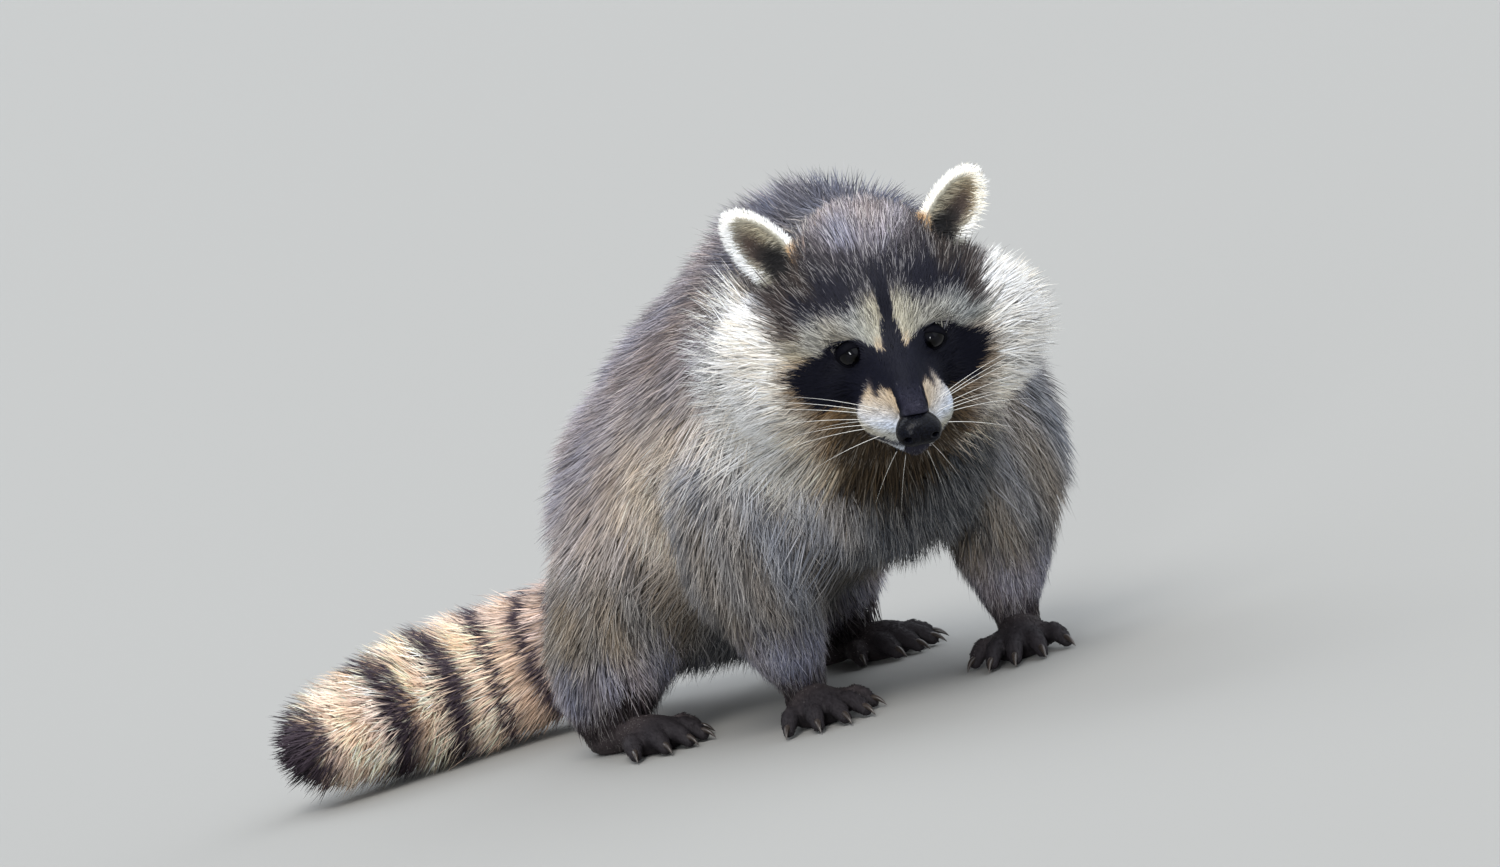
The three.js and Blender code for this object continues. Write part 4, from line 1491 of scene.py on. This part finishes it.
# Widths, mm, by the first of these that a tuft is: fine on the face and feet, wide in the underfur, thin
# in the guard hairs, which are the rest.
WIDTHS_OF = [
    (part == FEET, 0.55), (part == EARS, 0.38), (part == TAIL, 1.0), (depth < SHALLOW, 0.56),
    (~in_lock, 0.70), (is_stray, 0.42), (is_under, 1.25),
]
GUARD_WIDTH = 0.72
FINER_BY_NOSE = ([10, 30, 60], [0.65, 0.9, 1])
THICKNESS = 0.55  # of the width
width = np.select([of for of, _ in WIDTHS_OF], [wide for _, wide in WIDTHS_OF], GUARD_WIDTH)
width = width * drawn(0.8, 1.25) * np.where(part == HEAD, np.interp(from_nose, *FINER_BY_NOSE), 1)


def tuft_rings(index, stations):
    """The middle line of tufts, and the directions along it, at stations given as shares of their length."""
    pull = LOCK_PULL * to_middle[index] * (1 - 0.6 * on_ruff[index, None])
    rings, ways = [], []
    for t in stations:
        ahead = first_way[index] * (t - t * t / 2) + last_way[index] * (t * t / 2)
        rings.append(root[index] + length[index, None] * ahead + pull * t**1.4)
        ways.append(unit(first_way[index] * (1 - t) + last_way[index] * t))
    return rings, ways


# ---- the coat's colours --------------------------------------------------------------------------
# A hair is dusky at its root, pale along its middle, and black, pale or plain at its point, which
# grizzles the coat. The colour is that of the marking where the hair comes to the surface, so the
# markings keep their edges.
DUSK = np.array([74, 64, 60.0])
PALE_POINT = np.array([240, 236, 230.0])
DARK_POINT = np.array([8, 7, 11.0])
WARMER = np.array([7.0, 1.0, -8.0])  # how far the grey wanders towards brown, and as far towards blue
WARMTH_SPAN = 90  # mm from one warm patch to the next
TUFT_UNEVEN, LOCK_UNLIKE = 0.07, 0.09  # how much tufts differ in brightness, and locks
TOP_OF_BACK = 285

seen_share = np.where(part == TAIL, 0.85, drawn(0.70, 0.90))
seen_at = root + length[:, None] * reach * seen_share[:, None]
tone = marking(seen_at, shares)
tone[part == TAIL] = buff_of_tail(seen_at[part == TAIL])
tone = tone * (1 + TUFT_UNEVEN * rng.normal(size=len(root)) * soft(30, 80, tone.mean(1)))[:, None]
tone = tone * (1 + LOCK_UNLIKE * of_lock(lock_tone))[:, None]
brightness = tone.mean(1)
tone = tone + ((0.35 + wave(seen_at, WARMTH_SPAN, 3)) * soft(60, 120, brightness))[:, None] * WARMER
whiteness = soft(195, 225, brightness) * (part != TAIL)

# The grizzle: which hairs end dark and which pale. There is none in the black or the white, and little on
# the ears.
grizzled = soft(*np.where(part == HEAD, [[20], [42]], [[34], [62]]), brightness) * (1 - whiteness)
grizzled = grizzled * np.where(part == HEAD, soft(1.2, 4.0, depth), 1) * np.where(part == EARS, 0.3, 1)
height = (in_body[:, 2] / TOP_OF_BACK).clip(0, 1)
kinds = [part == TAIL, part == TRUNK, part == HEAD]
dark_share = grizzled * np.select(kinds, [0.05, 0.18 + 0.34 * soft(0.45, 0.85, height), 0.42], 0.26)
pale_share = grizzled * np.select(
    kinds, [0.20, 0.30 - 0.20 * soft(0.4, 0.85, height), 0.22 + 0.06 * soft(60, 140, brightness)], 0.24
)
draw = rng.random(len(root))
is_dark = (draw < dark_share)[:, None]
is_pale = (draw > 1 - pale_share)[:, None]

# Colours at the root, early and late along the hair, and at its point.
root_share = (0.56 + 0.40 * np.maximum(whiteness, part == TAIL))[:, None]
root_tone = tone * root_share + DUSK * (0.14 * soft(25, 70, brightness) * (1 - whiteness))[:, None]
pale = tone + (PALE_POINT - tone) * 0.5
dark = tone * 0.26 + DARK_POINT
point_tone = np.where(is_dark, dark, np.where(is_pale, pale, tone * 1.04))
late_tone = np.where(is_dark, tone * 0.78 + dark * 0.22, np.where(is_pale, tone * 1.04, tone))
early_tone = root_tone * 0.4 + tone * 0.6
STATIONS = {SHORT: [0, 0.45, 1], LONG: [0, 0.30, 0.68, 1]}


def tones_of(index, stations):
    middle_tone = (early_tone + late_tone) / 2
    table = {0: root_tone, 0.30: early_tone, 0.45: middle_tone, 0.68: late_tone, 1: point_tone}
    return [table[t][index] for t in stations]


# ---- the coat as pieces --------------------------------------------------------------------------
# Each piece is the fur of one region, joined. Its map lays the region's skin out flat, each tuft a small
# patch at its root's place. The tufts' normals lean towards the body's own, so that the coat catches the
# light softly.
PATCH = 0.003
PATCH_EDGE = 0.0008

FUR = {"roughness": 0.62, "specular": 0.18, "scale": 420, "darkest": 0.80, "lightest": 1.18}
fur_material = marked_material("fur", **FUR)[0]

# The tail's fur has its rings drawn along each hair, by the hair's place along the tail.
RING_WANDER = 3  # mm that hairs differ in where the rings cross them
RING_SPAN = 300  # mm from the tail's tip that the ramp of rings covers
ringed_material, tree, _, marks, grain = marked_material("ringed fur", **FUR)
from_tip = add_node(tree, "Attribute")
from_tip.attribute_name = "From tip"
rings = add_node(tree, "ValToRGB")
rings.color_ramp.elements[0].color = (1, 1, 1, 1)
rings.color_ramp.elements[1].color = (0, 0, 0, 1)
for ring in TAIL_RINGS:
    for edge, before in zip(ring, (0, 1)):
        for step, darkness in ((-RING_BLUR, before), (RING_BLUR, 1 - before)):
            if edge + step > 0:
                stop = rings.color_ramp.elements.new((edge + step) / RING_SPAN)
                stop.color = (darkness, darkness, darkness, 1)
tree.links.new(from_tip.outputs["Fac"], rings.inputs["Fac"])
MIX_SHARE, MIX_FIRST, MIX_SECOND, MIX_RESULT = 0, 6, 7, 2  # the places of a colour Mix node's sockets
ringed = add_node(tree, "Mix", {MIX_SECOND: (*linear(TAIL_DARK), 1)})
ringed.data_type = "RGBA"
tree.links.new(rings.outputs["Color"], ringed.inputs[MIX_SHARE])
tree.links.new(marks.outputs["Color"], ringed.inputs[MIX_FIRST])
tree.links.new(ringed.outputs[MIX_RESULT], grain.inputs["Color"])


def tuft_faces(count, rings):
    """Quads and triangles of spindles with that many stations, the first and last of them points."""
    corners_each = 3 * (rings - 2) + 2
    base = np.arange(count)[:, None] * corners_each
    quads, ends = [], []
    for side in range(3):
        after = (side + 1) % 3
        ends.append([0, 1 + side, 1 + after])
        ends.append([corners_each - 1, corners_each - 4 + after, corners_each - 4 + side])
        for ring in range(rings - 3):
            a, b = 1 + 3 * ring + side, 1 + 3 * ring + after
            quads.append([a, a + 3, b + 3, b])
    quads = (base[:, None, :] + np.array(quads, int).reshape(-1, 4)[None]).reshape(-1, 4)
    ends = (base[:, None, :] + np.array(ends)[None]).reshape(-1, 3)
    return quads, ends


# The three corners of a tuft's section, as shares of its width across and of its thickness up.
SECTION = ((-1, -0.35), (1, -0.35), (0, 0.65))
WIDTHS = {SHORT: [0, 1.0, 0], LONG: [0, 1.0, 0.78, 0]}
NORMAL_FROM_BODY = 0.62


def tufts(index, rings):
    """Corners, normals, colours and patch places of tufts."""
    stations = STATIONS[rings]
    lines, ways = tuft_rings(index, stations)
    tones = tones_of(index, stations)
    out = upright[index]
    corners, normals, colours, patch = [], [], [], []
    for i, t in enumerate(stations):
        if WIDTHS[rings][i] == 0:
            corners.append(lines[i])
            normals.append(out)
            colours.append(tones[i])
            patch.append((0, (t - 0.5) * PATCH))
            continue
        across = unit(np.cross(ways[i], out))
        over = np.cross(across, ways[i])
        half = (width[index] * WIDTHS[rings][i] / 2)[:, None]
        for k, (x, y) in enumerate(SECTION):
            aside = across * x + over * y * 2 * THICKNESS
            corners.append(lines[i] + half * aside)
            normals.append(unit(out * NORMAL_FROM_BODY + unit(aside) * (1 - NORMAL_FROM_BODY)))
            colours.append(tones[i])
            patch.append((x * PATCH / 2, (t - 0.5) * PATCH + (PATCH_EDGE if k == 2 else 0)))
    return np.stack(corners, 1), np.stack(normals, 1), np.stack(colours, 1), np.array(patch)


def spread(x):
    """Values spread over 0.01 to 0.99, so that a piece's map is filled."""
    low, high = np.percentile(x, [0.5, 99.5])
    return 0.01 + 0.98 * ((x - low) / max(high - low, 1e-6)).clip(0, 1)


OFF_FLOOR = 0.2  # mm that the lowest tufts clear the floor by
on_map = np.zeros((len(root), 2))  # each root's place on its own region's flat map, from 0 to 1


def coat_piece(name, index, material=fur_material):
    """Joins the tufts of one region, once their roots have their places on its flat map."""
    points, bent, faces4, faces3, tones, maps, along = [], [], [], [], [], [], []
    count = 0
    for rings, chosen in ((LONG, index[is_bent[index]]), (SHORT, index[~is_bent[index]])):
        if len(chosen) == 0:
            continue
        corners, normals, colours, patch = tufts(chosen, rings)
        quads, ends = tuft_faces(len(chosen), rings)
        points.append(corners.reshape(-1, 3))
        bent.append(normals.reshape(-1, 3))
        tones.append(colours.reshape(-1, 3))
        maps.append((on_map[chosen][:, None, :] + patch[None]).reshape(-1, 2))
        if material is ringed_material:
            off = rng.normal(size=(len(chosen), 1)) * RING_WANDER
            along.append((from_tail_tip(points[-1]).reshape(len(chosen), -1) + off).ravel())
        faces4.append(quads + count)
        faces3.append(ends + count)
        count += len(points[-1])
    points = np.concatenate(points)
    points[:, 2] = np.maximum(points[:, 2], OFF_FLOOR)
    faces4, faces3 = np.concatenate(faces4), np.concatenate(faces3)
    piece = mesh_object(name, points, faces4, faces3)
    mesh = piece.data
    leaned = mesh.attributes.new("custom_normal", "FLOAT_VECTOR", "POINT")
    leaned.data.foreach_set("vector", np.concatenate(bent).astype(np.float32).ravel())
    paint_points(mesh, np.concatenate(tones))
    flat = mesh.uv_layers.new(name="OFBake", do_init=False)
    corner_index = np.concatenate([faces4.ravel(), faces3.ravel()])
    flat.uv.foreach_set("vector", np.concatenate(maps)[corner_index].clip(0, 1).astype(np.float32).ravel())
    if along:
        number_points(mesh, "From tip", (np.concatenate(along) / RING_SPAN).clip(0, 1))
    mesh.materials.append(material)
    finish_piece(piece)


def around(p, centre, axis, start):
    """Angle about an axis through a centre, from 0 to 1, and distances along and off it."""
    axis = unit(np.array(axis, float))
    first = unit(np.cross(np.cross(axis, start), axis))
    second = np.cross(axis, first)
    q = p - np.array(centre)
    angle = np.arctan2(q @ second, q @ first) / (2 * math.pi) + 0.5
    along = q @ axis
    off = np.linalg.norm(q - along[:, None] * axis, axis=1)
    return angle, along, off


def peeled(p, centre):
    """Laid out from the front as a globe is from its pole, with what lies behind at the rim."""
    q = unit(p - np.array(centre))
    from_pole = np.arccos(np.clip(-q[:, 1], -1, 1)) / math.pi
    turn = np.arctan2(q[:, 2], q[:, 0])
    return np.stack([spread(from_pole * np.cos(turn)), spread(from_pole * np.sin(turn))], axis=1)


def lay_out(index, u, v):
    on_map[index] = np.stack([spread(u), spread(v)], axis=1)


def in_half(x, half):
    """Values spread over the lower half of a map's side, or over its upper half."""
    return spread(x) * 0.49 + 0.5 * half


left = in_body[:, 0] > BODY_MIDDLE
sides_of_body = (("left", left), ("right", ~left))
on_head = part == HEAD
on_face = on_head & (in_head[:, 1] < -22) & (np.abs(in_head[:, 0]) < 46)
# The tufts of each piece of the head, and the middle that their map is peeled from.
HEAD_PIECES = {
    "coat_face": (on_face, (0, -40, -10)),
    "coat_ruff_left": (on_head & ~on_face & (in_head[:, 0] > 0), (12, -6, 0)),
    "coat_ruff_right": (on_head & ~on_face & (in_head[:, 0] <= 0), (-12, -6, 0)),
}
for name, (chosen, centre) in HEAD_PIECES.items():
    index = np.nonzero(chosen)[0]
    on_map[index] = peeled(in_head[index], centre)
    coat_piece(name, index)

index = np.nonzero(part == EARS)[0]
on_map[index, 0] = in_half(ear_at[index, 0], in_head[index, 0] > 0)
on_map[index, 1] = in_half(ear_at[index, 2], ear_at[index, 1] > 0.1)
coat_piece("coat_ears", index)

# The trunk is cut across at these places along it. Round its two ends the map runs on over the curve.
BODY_CUTS = {"neck": (-400, -142), "shoulder": (-142, -84), "ribs": (-84, -6), "rump": (-6, 400)}
OVER_THE_END = {"neck": 0.8, "shoulder": 0, "ribs": 0, "rump": -0.8}
BODY_AXIS_AT = (BODY_MIDDLE, 0, 150)
for region, (start, end) in BODY_CUTS.items():
    for side_name, on_side in sides_of_body:
        index = np.nonzero((part == TRUNK) & on_side & (in_body[:, 1] > start) & (in_body[:, 1] <= end))[0]
        angle, along, off = around(in_body[index], BODY_AXIS_AT, (0, 1, 0), (0, 0, 1))
        lay_out(index, angle, along + OVER_THE_END[region] * off)
        coat_piece(f"coat_{region}_{side_name}", index)

ahead = in_body[:, 1] < -30
for region, chosen in (("foreleg", ahead), ("hindleg", ~ahead)):
    chosen = chosen & (part == LEG_PART)
    for half, (side_name, on_side) in enumerate(sides_of_body):
        mine = np.nonzero(chosen & on_side)[0]
        top, *_, foot = (np.array(joint[:3]) for joint in LEGS[f"{region}_{side_name}"])
        angle, along, _ = around(in_body[mine], foot, top - foot, (0, -1, 0))
        on_map[mine, 0] = in_half(angle, half)
        on_map[mine, 1] = spread(along)
    coat_piece(f"coat_{region}s", np.nonzero(chosen)[0])

index = np.nonzero(part == TAIL)[0]
at, _, way_along = along_tail(root[index])
joints_at = np.concatenate([[0], np.cumsum(tail_steps)])
off_line = in_body[index] - np.array([np.interp(at, joints_at, TAIL_PATH[:, i]) for i in range(3)]).T
beside = np.sum(off_line * np.cross(way_along, [0, 0, 1]), axis=1)
lay_out(index, np.arctan2(off_line[:, 2], beside) / (2 * math.pi) + 0.5, at)
coat_piece("coat_tail", index, ringed_material)

for k, (name, at) in enumerate(at_each_paw.items()):
    mine = np.nonzero((part == FEET) & at)[0]
    angle, along, _ = around(to_paw(name, root[mine]), (0, 0, 6), (0, 1, 0), (0, 0, -1))
    on_map[mine, 0] = in_half(angle, k % 2)
    on_map[mine, 1] = in_half(along, k // 2)
coat_piece("coat_feet", np.nonzero(part == FEET)[0])


# ---- the floor and the light ---------------------------------------------------------------------
# A plain pale floor under a soft overhead sky, brightest at its top, with a key from high in front on the
# animal's right, a very broad fill on its left, a back light, and a small low one in front that the eyes
# and nose catch.
FLOOR_HALF = 30
floor_mesh = bpy.data.meshes.new("floor")
floor_corners = [(x * FLOOR_HALF, y * FLOOR_HALF, 0) for x, y in ((-1, -1), (1, -1), (1, 1), (-1, 1))]
floor_mesh.from_pydata(floor_corners, [], [(0, 1, 2, 3)])
floor_material = new_material("pale floor", {"Roughness": 0.9, "Base Color": (0.28, 0.275, 0.26, 1)})[0]
floor_mesh.materials.append(floor_material)
in_scene("floor", floor_mesh)

SKY_LOW, SKY_TOP = 0.30, 1.25
world = bpy.data.worlds.new("studio")
world.use_nodes = True
tree = world.node_tree
sky = set_inputs(tree.nodes["Background"], {"Color": (0.82, 0.87, 0.95, 1)})
place = add_node(tree, "TexCoord")
height = add_node(tree, "SeparateXYZ")
rise = add_node(tree, "MapRange", {"To Min": SKY_LOW, "To Max": SKY_TOP})
tree.links.new(place.outputs["Generated"], height.inputs["Vector"])
tree.links.new(height.outputs["Z"], rise.inputs["Value"])
tree.links.new(rise.outputs["Result"], sky.inputs["Strength"])
bpy.context.scene.world = world


def soft_light(name, place, breadth, strength, colour):
    """Even light from one side, as from a window a long way off, so many degrees broad."""
    light = bpy.data.lights.new(name, "SUN")
    light.angle = math.radians(breadth)
    light.energy = strength
    light.color = colour
    place = Vector(place)
    lamp = in_scene(name, light)
    lamp.matrix_world = Matrix.Translation(place) @ (-place).to_track_quat("-Z", "Y").to_matrix().to_4x4()


soft_light("key", (-1.5, -1.4, 2.8), 30, 2.0, (1.0, 0.98, 0.95))
soft_light("fill", (1.8, -1.6, 1.8), 110, 1.9, (0.90, 0.95, 1.0))
soft_light("back", (0.2, 2.0, 1.8), 40, 1.2, (0.90, 0.95, 1.0))
soft_light("catch", (-1.9, -1.9, 0.5), 12, 1.2, (0.95, 0.97, 1.0))
bpy.context.scene.view_settings.view_transform = "Standard"
